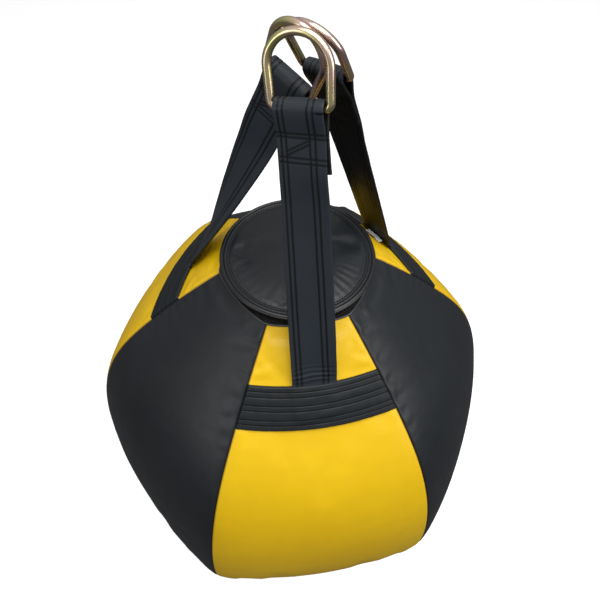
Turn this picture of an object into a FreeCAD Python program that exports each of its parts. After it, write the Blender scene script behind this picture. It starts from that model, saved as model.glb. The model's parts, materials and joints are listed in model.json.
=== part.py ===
import FreeCAD, Part
import math
import os
import Sketcher
from FreeCAD import Placement, Rotation, Vector

# Teardrop heavy punching bag, 22 inch class, hung from three webbing straps with D-rings.
# Frame: +Z up, origin at the centre of the flat base, front strap and front yellow panel
# towards -Y.  The shell is six gores; the three straps start on the yellow gores.

doc = FreeCAD.newDocument("heavy_bag")
sheet = doc.addObject("Spreadsheet::Sheet", "Sizes")

# Stations of the seam line, from the base up to the neck: height and seam radius.
STATIONS = [
    (0.0, 104.0), (12.0, 142.0), (30.0, 182.0), (60.0, 223.0), (100.0, 255.0),
    (150.0, 273.5), (194.0, 277.0), (250.0, 272.8), (310.0, 258.0), (364.0, 231.3),
    (419.4, 184.2), (456.1, 145.4), (498.6, 93.5),
]
# Stations of the anchor bands and of the patches behind them.
BAND_STATIONS = [(419.4, 184.2), (437.0, 166.2), (455.3, 146.3)]
PATCH_STATIONS = [(413.0, 190.1), (437.0, 166.2), (464.0, 136.2)]
# Points of the seam line at the straps' folds and below the ends of their tails.
FOOT_STATION = (459.8, 141.1)
TAIL_STATION = (432.0, 171.4)
FILLED_STATIONS = range(1, 12)    # the shell's stations between which the filling lies

DIMENSIONS = {
    "flatness": 0.5,             # 0 is a round section, 1 is a flat-sided hexagon
    "skin_thickness": 2.2,
    "seam_gap": 0.3,
    "patch_start": 3.4,          # depths below the skin's outer face
    "patch_end": 5.0,
    "liner_start": 6.4,
    "liner_end": 24.4,
    "core_start": 25.0,
    "band_start": 0.25,
    "band_end": 4.4,
    "base_seam_radius": 96.0,
    "base_thickness": 3.0,
    "strap_width": 50.0,
    "strap_thickness": 3.6,
    "webbing_width": 44.0,
    "webbing_thickness": 1.3,
    "sleeve_width": 45.0,
    "sleeve_thickness": 1.9,
    "foot_lift": 4.2,            # height of a strap's fold line above its panel
    "tail_length": 34.0,
    "tail_thickness": 1.8,
    "slot_length": 38.0,         # the slot in a band for the strap's end, and its room all round
    "slot_width": 52.0,
    "slot_depth": 3.9,
    "rod_diameter": 8.5,
    "ring_arch_radius": 30.0,    # all ring radii are to the rod's centre
    "ring_arch_height": 36.0,
    "ring_corner_radius": 6.5,
    "ring_bar_half": 22.5,
    "loop_width": 45.6,          # the strap gathers a little where it goes through the ring
    "loop_hole_radius": 4.75,
    "loop_outer_radius": 7.95,
    "loop_half_thickness": 3.6,
    "loop_taper": 30.0,
    "loop_tail": 62.0,
    "loop_gap_tip": 24.0,
    "neck_binding_radius": 94.5,
    "neck_binding_inner": 86.5,
    "neck_binding_base": 498.9,
    "neck_binding_height": 2.5,
    "zip_radius": 86.6,
    "zip_tape_thickness": 1.0,
    "lower_tape_base": 501.7,
    "lower_tape_top": 508.2,
    "upper_tape_base": 511.7,
    "upper_tape_top": 515.5,
    "teeth_radius": 0.7,
    "lower_teeth_height": 509.0,
    "upper_teeth_height": 510.9,
    "zip_sweep": 330.0,
    "rim_inner": 85.2,
    "rim_outer": 91.5,
    "rim_base": 515.7,
    "rim_top": 519.1,
    "rim_rounding": 1.2,
    "lid_radius": 85.0,
    "lid_base": 516.1,
    "lid_dome": 6.0,
    "lid_thickness": 2.0,
    "foam_radius": 82.0,
    "foam_base": 503.0,
    "foam_top": 515.7,
    "slider_angle": 162.0,
    "slider_base": 505.2,
    "slider_height": 5.4,
    "slider_inner": 88.0,
    "slider_depth": 3.6,
    "slider_width": 8.0,
    "tab_length": 24.0,
    "tab_width": 8.0,
    "tab_thickness": 1.4,
    "hinge_tape_inner": 87.2,
    "hinge_tape_outer": 88.6,
    "hinge_tape_top": 513.5,
    "hinge_tape_sweep": 26.0,
    "label_width": 26.0,
    "label_height": 6.0,
    "label_thickness": 0.5,
}


def spread(stations, index):
    """Horizontal thickness of a wall one unit thick, at a station of the seam line."""
    low = stations[max(index - 1, 0)]
    high = stations[min(index + 1, len(stations) - 1)]
    rise = high[0] - low[0]
    run = high[1] - low[1]
    return math.hypot(rise, run) / abs(rise)


row = 1


def put(alias, number):
    """Write one driving dimension to the sheet and name its cell."""
    global row
    sheet.set(f"A{row}", alias)
    sheet.set(f"B{row}", str(round(number, 4)))
    sheet.setAlias(f"B{row}", alias)
    row += 1


for alias, number in DIMENSIONS.items():
    put(alias, number)

STATION_SETS = {"shell": STATIONS, "band": BAND_STATIONS, "patch": PATCH_STATIONS}
for set_name, stations in STATION_SETS.items():
    for index, (height, radius) in enumerate(stations):
        put(f"{set_name}_height_{index}", height)
        put(f"{set_name}_radius_{index}", radius)
        put(f"{set_name}_spread_{index}", spread(stations, index))
doc.recompute()

COS30 = math.cos(math.radians(30.0))
FLAT = DIMENSIONS["flatness"]
MIDDLE = 1.0 - FLAT * (1.0 - COS30)      # panel's mid radius over its seam radius
SAGITTA = MIDDLE - COS30
BULGE = (0.25 + SAGITTA**2) / (2.0 * SAGITTA)
put("bulge_factor", BULGE)
put("middle_factor", MIDDLE)
doc.recompute()


# ---------------------------------------------------------------- small helpers

def new_body(label):
    body = doc.addObject("PartDesign::Body", label)
    body.Label = label
    return body


def plane(body, role):
    return next(item for item in body.Origin.OriginFeatures if item.Role == role)


def new_sketch(body, name, role="XY_Plane", offset=None):
    """A sketch on one of the body's own origin planes, moved by an attachment offset."""
    sketch = body.newObject("Sketcher::SketchObject", name)
    sketch.AttachmentSupport = [(plane(body, role), "")]
    sketch.MapMode = "FlatFace"
    if offset is not None:
        sketch.AttachmentOffset = offset
    return sketch


def bind(target, path, expression):
    target.setExpression(path, expression)


def pin(sketch, geometry, position, x, y, x_expression=None, y_expression=None):
    """Fix one point of a sketch, each coordinate bound to the sheet if it has an expression."""
    for kind, number, expression in (("DistanceX", x, x_expression), ("DistanceY", y, y_expression)):
        index = sketch.addConstraint(Sketcher.Constraint(kind, -1, 1, geometry, position, number))
        if expression:
            bind(sketch, f"Constraints[{index}]", expression)


def join_ends(sketch, first, last):
    """Make a closed chain of the geometry first..last, end to start."""
    for geometry in range(first, last + 1):
        following = first if geometry == last else geometry + 1
        sketch.addConstraint(Sketcher.Constraint("Coincident", geometry, 2, following, 1))


def add_rectangle(sketch, width, height, width_expression, height_expression, base=None, base_expression=None):
    """A rectangle centred on X; centred on Y too, or standing on base."""
    low = -height / 2 if base is None else base
    high = low + height
    if base is None:
        low_expression = f"-({height_expression}) / 2"
        high_expression = f"({height_expression}) / 2"
    else:
        low_expression = base_expression
        high_expression = f"({base_expression}) + ({height_expression})"
    corners = [(-width / 2, low), (width / 2, low), (width / 2, high), (-width / 2, high)]
    first = sketch.GeometryCount
    for index in range(4):
        start = Vector(*corners[index], 0)
        end = Vector(*corners[(index + 1) % 4], 0)
        sketch.addGeometry(Part.LineSegment(start, end), False)
    join_ends(sketch, first, first + 3)
    half = f"({width_expression}) / 2"
    pin(sketch, first, 1, *corners[0], f"-{half}", low_expression)
    pin(sketch, first + 2, 1, *corners[2], half, high_expression)
    for side, kind in ((0, "Horizontal"), (1, "Vertical"), (2, "Horizontal"), (3, "Vertical")):
        sketch.addConstraint(Sketcher.Constraint(kind, first + side))


def add_outline(sketch, points):
    """A closed outline of straight sides; each point is (x, y, x expression, y expression)."""
    first = sketch.GeometryCount
    count = len(points)
    for index in range(count):
        start = Vector(points[index][0], points[index][1], 0)
        end = Vector(points[(index + 1) % count][0], points[(index + 1) % count][1], 0)
        sketch.addGeometry(Part.LineSegment(start, end), False)
    join_ends(sketch, first, first + count - 1)
    for index, point in enumerate(points):
        pin(sketch, first + index, 1, *point)


def add_circle(sketch, x, y, radius, radius_expression, y_expression=None):
    circle = sketch.addGeometry(Part.Circle(Vector(x, y, 0), Vector(0, 0, 1), radius), False)
    index = sketch.addConstraint(Sketcher.Constraint("Radius", circle, radius))
    bind(sketch, f"Constraints[{index}]", radius_expression)
    pin(sketch, circle, 3, x, y, None, y_expression)
    return circle


def loft(body, kind, sketches, name):
    feature = body.newObject(kind, name)
    feature.Profile = sketches[0]
    feature.Sections = sketches[1:]
    feature.Ruled = False
    body.Tip = feature
    for sketch in sketches:
        sketch.Visibility = False
    return feature


def pad(body, sketch, length_expression, name, symmetric=False):
    feature = body.newObject("PartDesign::Pad", name)
    feature.Profile = sketch
    feature.Midplane = symmetric
    bind(feature, "Length", length_expression)
    body.Tip = feature
    return feature


def revolve(body, sketch, angle_expression, name):
    """Turn a sketch of the XZ plane about the body's Z axis, evenly to both sides."""
    feature = body.newObject("PartDesign::Revolution", name)
    feature.Profile = sketch
    feature.ReferenceAxis = (sketch, ["V_Axis"])
    feature.Midplane = True
    bind(feature, "Angle", angle_expression)
    body.Tip = feature
    return feature


def about_z(angle):
    return Placement(Vector(0, 0, 0), Rotation(Vector(0, 0, 1), angle))


def at_height(height):
    return Placement(Vector(0, 0, height), Rotation())


# ---------------------------------------------------------------- panel sections

def layer_radius(set_name, stations, index, depth_alias):
    """Seam radius of a layer at a depth below the outer face, as a number and an expression."""
    radius = stations[index][1]
    depth = DIMENSIONS[depth_alias] if depth_alias else 0.0
    number = radius - depth * spread(stations, index)
    expression = f"Sizes.{set_name}_radius_{index}"
    if depth_alias:
        expression += f" - Sizes.{depth_alias} * Sizes.{set_name}_spread_{index}"
    return number, expression


def outer_radius(set_name, stations, index, height_alias):
    """Seam radius of a layer that stands proud of the outer face."""
    radius = stations[index][1]
    number = radius + DIMENSIONS[height_alias] * spread(stations, index)
    return number, f"Sizes.{set_name}_radius_{index} + Sizes.{height_alias} * Sizes.{set_name}_spread_{index}"


def gore_section(body, name, height, outer, inner, side_gap):
    """One closed section of a gore that faces -Y: two bulged arcs and two seam edges."""
    sketch = new_sketch(body, name, "XY_Plane", at_height(height))
    gap_x = side_gap / 2 * COS30
    gap_y = side_gap / 4
    corners = []
    for (radius, expression), side in ((outer, -1), (outer, 1), (inner, 1), (inner, -1)):
        x = side * (radius / 2 - gap_x)
        y = -radius * COS30 - gap_y
        x_expression = f"{side} * (({expression}) / 2 - {gap_x:.4f})"
        y_expression = f"-({expression}) * {COS30:.6f} - {gap_y:.4f}"
        corners.append((x, y, x_expression, y_expression))
    outer_mid = Vector(0, -outer[0] * MIDDLE, 0)
    inner_mid = Vector(0, -inner[0] * MIDDLE, 0)
    points = [Vector(x, y, 0) for x, y, *_ in corners]
    sketch.addGeometry(Part.Arc(points[0], outer_mid, points[1]), False)
    sketch.addGeometry(Part.LineSegment(points[1], points[2]), False)
    sketch.addGeometry(Part.Arc(points[3], inner_mid, points[2]), False)
    sketch.addGeometry(Part.LineSegment(points[3], points[0]), False)
    for first, first_end, second, second_end in ((0, 2, 1, 1), (1, 2, 2, 2), (2, 1, 3, 1), (3, 2, 0, 1)):
        sketch.addConstraint(Sketcher.Constraint("Coincident", first, first_end, second, second_end))
    pin(sketch, 0, 1, *corners[0])
    pin(sketch, 0, 2, *corners[1])
    pin(sketch, 2, 2, *corners[2])
    pin(sketch, 2, 1, *corners[3])
    for arc, expression in ((0, outer[1]), (2, inner[1])):
        index = sketch.addConstraint(Sketcher.Constraint("Radius", arc, sketch.Geometry[arc].Radius))
        bind(sketch, f"Constraints[{index}]", f"({expression}) * Sizes.bulge_factor")
    return sketch


def ring_section(body, name, height, radius, expression):
    """A closed six-arc section, all the way round, with its corners on the seams."""
    sketch = new_sketch(body, name, "XY_Plane", at_height(height))
    add_six_arcs(sketch, radius, expression)
    return sketch


def add_six_arcs(sketch, radius, expression):
    first = sketch.GeometryCount
    for side in range(6):
        start_angle = math.radians(60.0 * side)
        end_angle = math.radians(60.0 * side + 60.0)
        mid_angle = math.radians(60.0 * side + 30.0)
        start = Vector(radius * math.cos(start_angle), radius * math.sin(start_angle), 0)
        end = Vector(radius * math.cos(end_angle), radius * math.sin(end_angle), 0)
        middle = Vector(math.cos(mid_angle), math.sin(mid_angle), 0) * (radius * MIDDLE)
        sketch.addGeometry(Part.Arc(start, middle, end), False)
    join_ends(sketch, first, first + 5)
    for side in range(6):
        angle = math.radians(60.0 * side)
        cosine = round(math.cos(angle), 6)
        sine = round(math.sin(angle), 6)
        pin(sketch, first + side, 1, radius * cosine, radius * sine,
            f"({expression}) * {cosine}", f"({expression}) * {sine}")
        index = sketch.addConstraint(Sketcher.Constraint("Radius", first + side, radius * BULGE))
        bind(sketch, f"Constraints[{index}]", f"({expression}) * Sizes.bulge_factor")


def make_gore(label, angle, set_name, stations, outer_of, inner_of, side_gap=None):
    """A shell panel between two seams, lofted through its stations."""
    body = new_body(label)
    gap = DIMENSIONS["seam_gap"] if side_gap is None else side_gap
    sections = []
    for index, (height, _) in enumerate(stations):
        section = gore_section(body, f"{label}_section_{index}", height, outer_of(index), inner_of(index), gap)
        sections.append(section)
    loft(body, "PartDesign::AdditiveLoft", sections, f"{label}_loft")
    body.Placement = about_z(angle)
    return body


# ---------------------------------------------------------------- shell

PARTS = []
SIDES = {"front": 0.0, "right": 120.0, "left": -120.0}
BLACK = {"front_right": 60.0, "back": 180.0, "front_left": -60.0}


def make_shell():
    def outer(index):
        return layer_radius("shell", STATIONS, index, None)

    def inner(index):
        return layer_radius("shell", STATIONS, index, "skin_thickness")

    for side, angle in SIDES.items():
        PARTS.append(make_gore(f"yellow_panel_{side}", angle, "shell", STATIONS, outer, inner))
    for side, angle in BLACK.items():
        PARTS.append(make_gore(f"black_panel_{side}", angle, "shell", STATIONS, outer, inner))


def make_base():
    """Six-sided panel that closes the six gores underneath."""
    body = new_body("base_panel")
    sketch = ring_section(body, "base_outline", 0, DIMENSIONS["base_seam_radius"], "Sizes.base_seam_radius")
    pad(body, sketch, "Sizes.base_thickness", "base_pad")
    PARTS.append(body)


BAND_SEAM_GAP = 3.0
PATCH_SEAM_GAP = 6.0
SLOT_LIFT = -1.0             # the slot's floor, off the panel


def make_bands_and_patches():
    """Wide sewn bands over the strap ends, and the patches that back them inside."""
    def band_outer(index):
        return outer_radius("band", BAND_STATIONS, index, "band_end")

    def band_inner(index):
        return outer_radius("band", BAND_STATIONS, index, "band_start")

    def patch_outer(index):
        return layer_radius("patch", PATCH_STATIONS, index, "patch_start")

    def patch_inner(index):
        return layer_radius("patch", PATCH_STATIONS, index, "patch_end")

    for side, angle in SIDES.items():
        band = make_gore(f"anchor_band_{side}", angle, "band", BAND_STATIONS, band_outer, band_inner,
                         BAND_SEAM_GAP)
        slot = band.newObject("PartDesign::SubtractiveBox", f"anchor_band_{side}_slot")
        slot.AttachmentSupport = [(plane(band, "XY_Plane"), "")]
        slot.MapMode = "FlatFace"
        slot.AttachmentOffset = tail_placement(SLOT_LIFT, 0.0, DIMENSIONS["slot_width"] / 2)
        bind(slot, "Length", "Sizes.slot_width")
        bind(slot, "Width", "Sizes.slot_length")
        bind(slot, "Height", "Sizes.slot_depth")
        band.Tip = slot
        PARTS.append(band)
        patch = make_gore(f"anchor_patch_{side}", angle, "patch", PATCH_STATIONS, patch_outer, patch_inner,
                          PATCH_SEAM_GAP)
        PARTS.append(patch)


# ---------------------------------------------------------------- strap geometry

FOOT_HEIGHT, FOOT_SEAM_RADIUS = FOOT_STATION
BELOW_HEIGHT, BELOW_SEAM_RADIUS = TAIL_STATION
FOOT_PANEL_RADIUS = FOOT_SEAM_RADIUS * MIDDLE
SLOPE = math.atan2(FOOT_HEIGHT - BELOW_HEIGHT, (BELOW_SEAM_RADIUS - FOOT_SEAM_RADIUS) * MIDDLE)
NORMAL = Vector(0, -math.sin(SLOPE), math.cos(SLOPE))        # of the front panel, at the strap's foot
DOWNHILL = Vector(0, -math.cos(SLOPE), -math.sin(SLOPE))


def foot_point(side):
    """Middle of the line on which a strap folds, just above the panel."""
    point = Vector(0, -FOOT_PANEL_RADIUS, FOOT_HEIGHT) + NORMAL * DIMENSIONS["foot_lift"]
    return about_z(SIDES[side]).multVec(point)


def tail_placement(lift, start, half_width):
    """Frame on the front panel below the strap's foot: X across, Y downhill, Z out."""
    corner = Vector(half_width, -FOOT_PANEL_RADIUS, FOOT_HEIGHT) + NORMAL * lift + DOWNHILL * start
    return Placement(corner, Rotation(Vector(-1, 0, 0), DOWNHILL, NORMAL, "ZYX"))


# Middle of each ring's bar, the bar's direction and the direction of the ring's arch.
# The straps turn on their way up, so that the three rings hang side by side on one hook.
TOPS = {
    "front": (Vector(-4.6, -20.7, 744.9), Vector(0.852, -0.481, 0.208), Vector(-0.023, 0.363, 0.932)),
    "right": (Vector(31.0, 42.8, 736.5), Vector(0.664, -0.734, 0.142), Vector(-0.387, -0.175, 0.905)),
    "left": (Vector(-8.5, 28.0, 741.6), Vector(0.641, -0.686, -0.345), Vector(0.19, -0.294, 0.937)),
}

LOOP_END = DIMENSIONS["loop_tail"]
RIBBON_START = 0.6
RIBBON_STEPS = 7
CORE_INSET = 7.0


def strap_frame(side):
    """Frame of a strap: origin on the fold at its foot, X along the fold, Z up the strap."""
    foot = foot_point(side)
    up = TOPS[side][0] - foot
    length = up.Length
    up.normalize()
    across = about_z(SIDES[side]).Rotation.multVec(Vector(1, 0, 0))
    return Placement(foot, Rotation(across, up.cross(across), up, "ZXY")), length


def loop_frame(side):
    """Frame of a strap's folded end: origin on the ring's bar, X along it, Z up the strap."""
    strap, _ = strap_frame(side)
    centre, bar, _ = TOPS[side]
    up = strap.Rotation.multVec(Vector(0, 0, 1))
    return Placement(centre, Rotation(bar, up.cross(bar), up, "ZXY"))


def ring_frame(side):
    """Frame of a D-ring: origin in the middle of its bar, X along it, Z towards the arch."""
    loop = loop_frame(side)
    bar = loop.Rotation.multVec(Vector(1, 0, 0))
    arch = TOPS[side][2]
    return Placement(TOPS[side][0], Rotation(bar, arch.cross(bar), arch, "XZY"))


def twist_of(side):
    """Angle by which a strap turns about its own length, from its foot to its ring, in degrees."""
    strap, _ = strap_frame(side)
    bar = strap.Rotation.inverted().multVec(loop_frame(side).Rotation.multVec(Vector(1, 0, 0)))
    angle = math.degrees(math.atan2(bar.y, bar.x))
    if angle > 90:
        return angle - 180
    if angle < -90:
        return angle + 180
    return angle


def ribbon_sketches(body, side, name, low, high, width_alias, thickness_alias):
    """Sections of a flat ribbon that turns evenly from the strap's foot to its ring."""
    _, length = strap_frame(side)
    sketches = []
    for step in range(RIBBON_STEPS):
        height = low + (high - low) * step / (RIBBON_STEPS - 1)
        turn = twist_of(side) * height / (length - LOOP_END)
        offset = Placement(Vector(0, 0, height), Rotation(Vector(0, 0, 1), turn))
        sketch = new_sketch(body, f"{name}_{step}", "XY_Plane", offset)
        add_rectangle(sketch, DIMENSIONS[width_alias], DIMENSIONS[thickness_alias],
                      f"Sizes.{width_alias}", f"Sizes.{thickness_alias}")
        sketches.append(sketch)
    return sketches


def make_strap(side):
    """Sewn vinyl sleeve of a strap, with a closed slot for its webbing."""
    frame, length = strap_frame(side)
    top = length - LOOP_END - 0.1
    label = f"strap_{side}"
    body = new_body(label)
    outside = ribbon_sketches(body, side, f"{label}_outside", RIBBON_START, top, "strap_width", "strap_thickness")
    loft(body, "PartDesign::AdditiveLoft", outside, f"{label}_ribbon")
    inside = ribbon_sketches(body, side, f"{label}_inside", RIBBON_START + CORE_INSET, top - CORE_INSET,
                             "sleeve_width", "sleeve_thickness")
    loft(body, "PartDesign::SubtractiveLoft", inside, f"{label}_slot")
    body.Placement = frame
    PARTS.append(body)

    label = f"strap_webbing_{side}"
    webbing = new_body(label)
    core = ribbon_sketches(webbing, side, f"{label}_core", RIBBON_START + CORE_INSET + 0.5, top - CORE_INSET - 0.5,
                           "webbing_width", "webbing_thickness")
    loft(webbing, "PartDesign::AdditiveLoft", core, f"{label}_ribbon")
    webbing.Placement = frame
    PARTS.append(webbing)


TAIL_LIFT = 0.6
TAIL_START = 2.6             # from the fold line down to the tail's upper edge


def make_strap_tail(side):
    """End of a strap, sewn flat to its panel under the anchor band."""
    body = new_body(f"strap_tail_{side}")
    box = body.newObject("PartDesign::AdditiveBox", f"strap_tail_{side}_box")
    box.AttachmentSupport = [(plane(body, "XY_Plane"), "")]
    box.MapMode = "FlatFace"
    box.AttachmentOffset = tail_placement(TAIL_LIFT, TAIL_START, DIMENSIONS["strap_width"] / 2)
    bind(box, "Length", "Sizes.strap_width")
    bind(box, "Width", "Sizes.tail_length")
    bind(box, "Height", "Sizes.tail_thickness")
    body.Tip = box
    body.Placement = about_z(SIDES[side])
    PARTS.append(body)


def centre_on_bar(sketch, arc):
    """Keep the centre of a half-round arc, whose ends are fixed, on the sketch's X axis."""
    sketch.addConstraint(Sketcher.Constraint("PointOnObject", arc, 3, -1))


def make_strap_loop(side):
    """Folded and stitched end of a strap, closed round the bar of its D-ring."""
    label = f"strap_loop_{side}"
    body = new_body(label)
    outer = DIMENSIONS["loop_outer_radius"]
    half = DIMENSIONS["loop_half_thickness"]
    taper = DIMENSIONS["loop_taper"]
    tail = DIMENSIONS["loop_tail"]
    sketch = new_sketch(body, f"{label}_outline", "YZ_Plane")
    points = [
        (-outer, 0, "-Sizes.loop_outer_radius", None),
        (-half, -taper, "-Sizes.loop_half_thickness", "-Sizes.loop_taper"),
        (-half, -tail, "-Sizes.loop_half_thickness", "-Sizes.loop_tail"),
        (half, -tail, "Sizes.loop_half_thickness", "-Sizes.loop_tail"),
        (half, -taper, "Sizes.loop_half_thickness", "-Sizes.loop_taper"),
        (outer, 0, "Sizes.loop_outer_radius", None),
    ]
    for index in range(len(points) - 1):
        start = Vector(points[index][0], points[index][1], 0)
        end = Vector(points[index + 1][0], points[index + 1][1], 0)
        sketch.addGeometry(Part.LineSegment(start, end), False)
    arch = Part.Arc(Vector(outer, 0, 0), Vector(0, outer, 0), Vector(-outer, 0, 0))
    sketch.addGeometry(arch, False)
    join_ends(sketch, 0, 5)
    for index, point in enumerate(points):
        pin(sketch, index, 1, *point)
    centre_on_bar(sketch, 5)
    hole = DIMENSIONS["loop_hole_radius"]
    tip = DIMENSIONS["loop_gap_tip"]
    first = sketch.GeometryCount
    sketch.addGeometry(Part.LineSegment(Vector(-hole, 0, 0), Vector(0, -tip, 0)), False)
    sketch.addGeometry(Part.LineSegment(Vector(0, -tip, 0), Vector(hole, 0, 0)), False)
    sketch.addGeometry(Part.Arc(Vector(hole, 0, 0), Vector(0, hole, 0), Vector(-hole, 0, 0)), False)
    join_ends(sketch, first, first + 2)
    pin(sketch, first, 1, -hole, 0, "-Sizes.loop_hole_radius", None)
    pin(sketch, first + 1, 1, 0, -tip, None, "-Sizes.loop_gap_tip")
    pin(sketch, first + 2, 1, hole, 0, "Sizes.loop_hole_radius", None)
    centre_on_bar(sketch, first + 2)
    pad(body, sketch, "Sizes.loop_width", f"{label}_pad", symmetric=True)
    body.Placement = loop_frame(side)
    PARTS.append(body)


def make_ring(side):
    """Welded D-ring of round steel rod: a straight bar, two legs and a half-round arch."""
    label = f"d_ring_{side}"
    body = new_body(label)
    arch = DIMENSIONS["ring_arch_radius"]
    arch_height = DIMENSIONS["ring_arch_height"]
    corner = DIMENSIONS["ring_corner_radius"]
    half = DIMENSIONS["ring_bar_half"]
    # The legs are the outer tangents of the corner arcs and the arch.
    reach = math.hypot(half, arch_height - corner)
    lean = math.acos((arch - corner) / reach) - math.atan2(arch_height - corner, half)
    normal = Vector(math.cos(lean), math.sin(lean), 0)
    side_low = Vector(half, corner, 0) + normal * corner
    side_high = Vector(0, arch_height, 0) + normal * arch
    corner_mid_angle = (lean - math.pi / 2) / 2
    corner_out = Vector(math.cos(corner_mid_angle), math.sin(corner_mid_angle), 0)
    corner_mid = Vector(half, corner, 0) + corner_out * corner

    def mirrored(point):
        return Vector(-point.x, point.y, 0)

    path = new_sketch(body, f"{label}_path", "XZ_Plane")
    origin = Vector(0, 0, 0)
    bar_end = Vector(half, 0, 0)
    path.addGeometry(Part.LineSegment(origin, bar_end), False)
    path.addGeometry(Part.Arc(bar_end, corner_mid, side_low), False)
    path.addGeometry(Part.LineSegment(side_low, side_high), False)
    path.addGeometry(Part.Arc(side_high, Vector(0, arch_height + arch, 0), mirrored(side_high)), False)
    path.addGeometry(Part.LineSegment(mirrored(side_high), mirrored(side_low)), False)
    path.addGeometry(Part.Arc(mirrored(side_low), mirrored(corner_mid), mirrored(bar_end)), False)
    path.addGeometry(Part.LineSegment(mirrored(bar_end), origin), False)
    ends = [(0, 2, 1, 1), (1, 2, 2, 1), (2, 2, 3, 1), (3, 2, 4, 1), (4, 2, 5, 2), (5, 1, 6, 1)]
    for first, first_end, second, second_end in ends:
        path.addConstraint(Sketcher.Constraint("Tangent", first, first_end, second, second_end))
    path.addConstraint(Sketcher.Constraint("Coincident", 6, 2, 0, 1))
    pin(path, 0, 1, 0, 0)
    pin(path, 0, 2, half, 0, "Sizes.ring_bar_half", None)
    pin(path, 6, 1, -half, 0, "-Sizes.ring_bar_half", None)
    pin(path, 3, 3, 0, arch_height, None, "Sizes.ring_arch_height")
    for arc, radius, alias in ((1, corner, "ring_corner_radius"), (3, arch, "ring_arch_radius"),
                               (5, corner, "ring_corner_radius")):
        index = path.addConstraint(Sketcher.Constraint("Radius", arc, radius))
        bind(path, f"Constraints[{index}]", f"Sizes.{alias}")
    rod = new_sketch(body, f"{label}_rod", "YZ_Plane")
    add_circle(rod, 0, 0, DIMENSIONS["rod_diameter"] / 2, "Sizes.rod_diameter / 2")
    pipe = body.newObject("PartDesign::AdditivePipe", f"{label}_pipe")
    pipe.Profile = rod
    pipe.Spine = (path, [])
    body.Tip = pipe
    body.Placement = ring_frame(side)
    PARTS.append(body)


# ---------------------------------------------------------------- neck, zip and lid

def make_neck_binding():
    """Six-sided binding on the shell's top edge, round the filling hole."""
    body = new_body("neck_binding")
    sketch = ring_section(body, "neck_outline", DIMENSIONS["neck_binding_base"],
                          DIMENSIONS["neck_binding_radius"], "Sizes.neck_binding_radius")
    add_six_arcs(sketch, DIMENSIONS["neck_binding_inner"], "Sizes.neck_binding_inner")
    pad(body, sketch, "Sizes.neck_binding_height", "neck_pad")
    PARTS.append(body)


def make_hoop(label, inner, outer, low, high, sweep="Sizes.zip_sweep"):
    """A flat hoop about Z, open at the back where it sweeps less than a full turn.

    Each of the four limits is a number and its expression.
    """
    body = new_body(label)
    sketch = new_sketch(body, f"{label}_section", "XZ_Plane")
    add_outline(sketch, [
        (inner[0], low[0], inner[1], low[1]),
        (outer[0], low[0], outer[1], low[1]),
        (outer[0], high[0], outer[1], high[1]),
        (inner[0], high[0], inner[1], high[1]),
    ])
    revolve(body, sketch, sweep, f"{label}_turn")
    face_front(body)
    PARTS.append(body)


def face_front(body):
    """A partial turn is centred on the body's +X; turn it to be centred on the front, -Y."""
    body.Placement = about_z(-90)


def sized(alias):
    return DIMENSIONS[alias], f"Sizes.{alias}"


def make_zip():
    """Two zip tapes with their rows of teeth; the upper one belongs to the lid."""
    inner = (DIMENSIONS["zip_radius"] - DIMENSIONS["zip_tape_thickness"],
             "Sizes.zip_radius - Sizes.zip_tape_thickness")
    outer = sized("zip_radius")
    make_hoop("zip_tape_lower", inner, outer, sized("lower_tape_base"), sized("lower_tape_top"))
    make_hoop("zip_tape_upper", inner, outer, sized("upper_tape_base"), sized("upper_tape_top"))
    for label, alias in (("zip_teeth_lower", "lower_teeth_height"), ("zip_teeth_upper", "upper_teeth_height")):
        body = new_body(label)
        sketch = new_sketch(body, f"{label}_section", "XZ_Plane")
        centre = DIMENSIONS["zip_radius"] - DIMENSIONS["zip_tape_thickness"] / 2
        circle = sketch.addGeometry(
            Part.Circle(Vector(centre, DIMENSIONS[alias], 0), Vector(0, 0, 1), DIMENSIONS["teeth_radius"]), False)
        index = sketch.addConstraint(Sketcher.Constraint("Radius", circle, DIMENSIONS["teeth_radius"]))
        bind(sketch, f"Constraints[{index}]", "Sizes.teeth_radius")
        pin(sketch, circle, 3, centre, DIMENSIONS[alias],
            "Sizes.zip_radius - Sizes.zip_tape_thickness / 2", f"Sizes.{alias}")
        revolve(body, sketch, "Sizes.zip_sweep", f"{label}_turn")
        face_front(body)
        PARTS.append(body)


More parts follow.
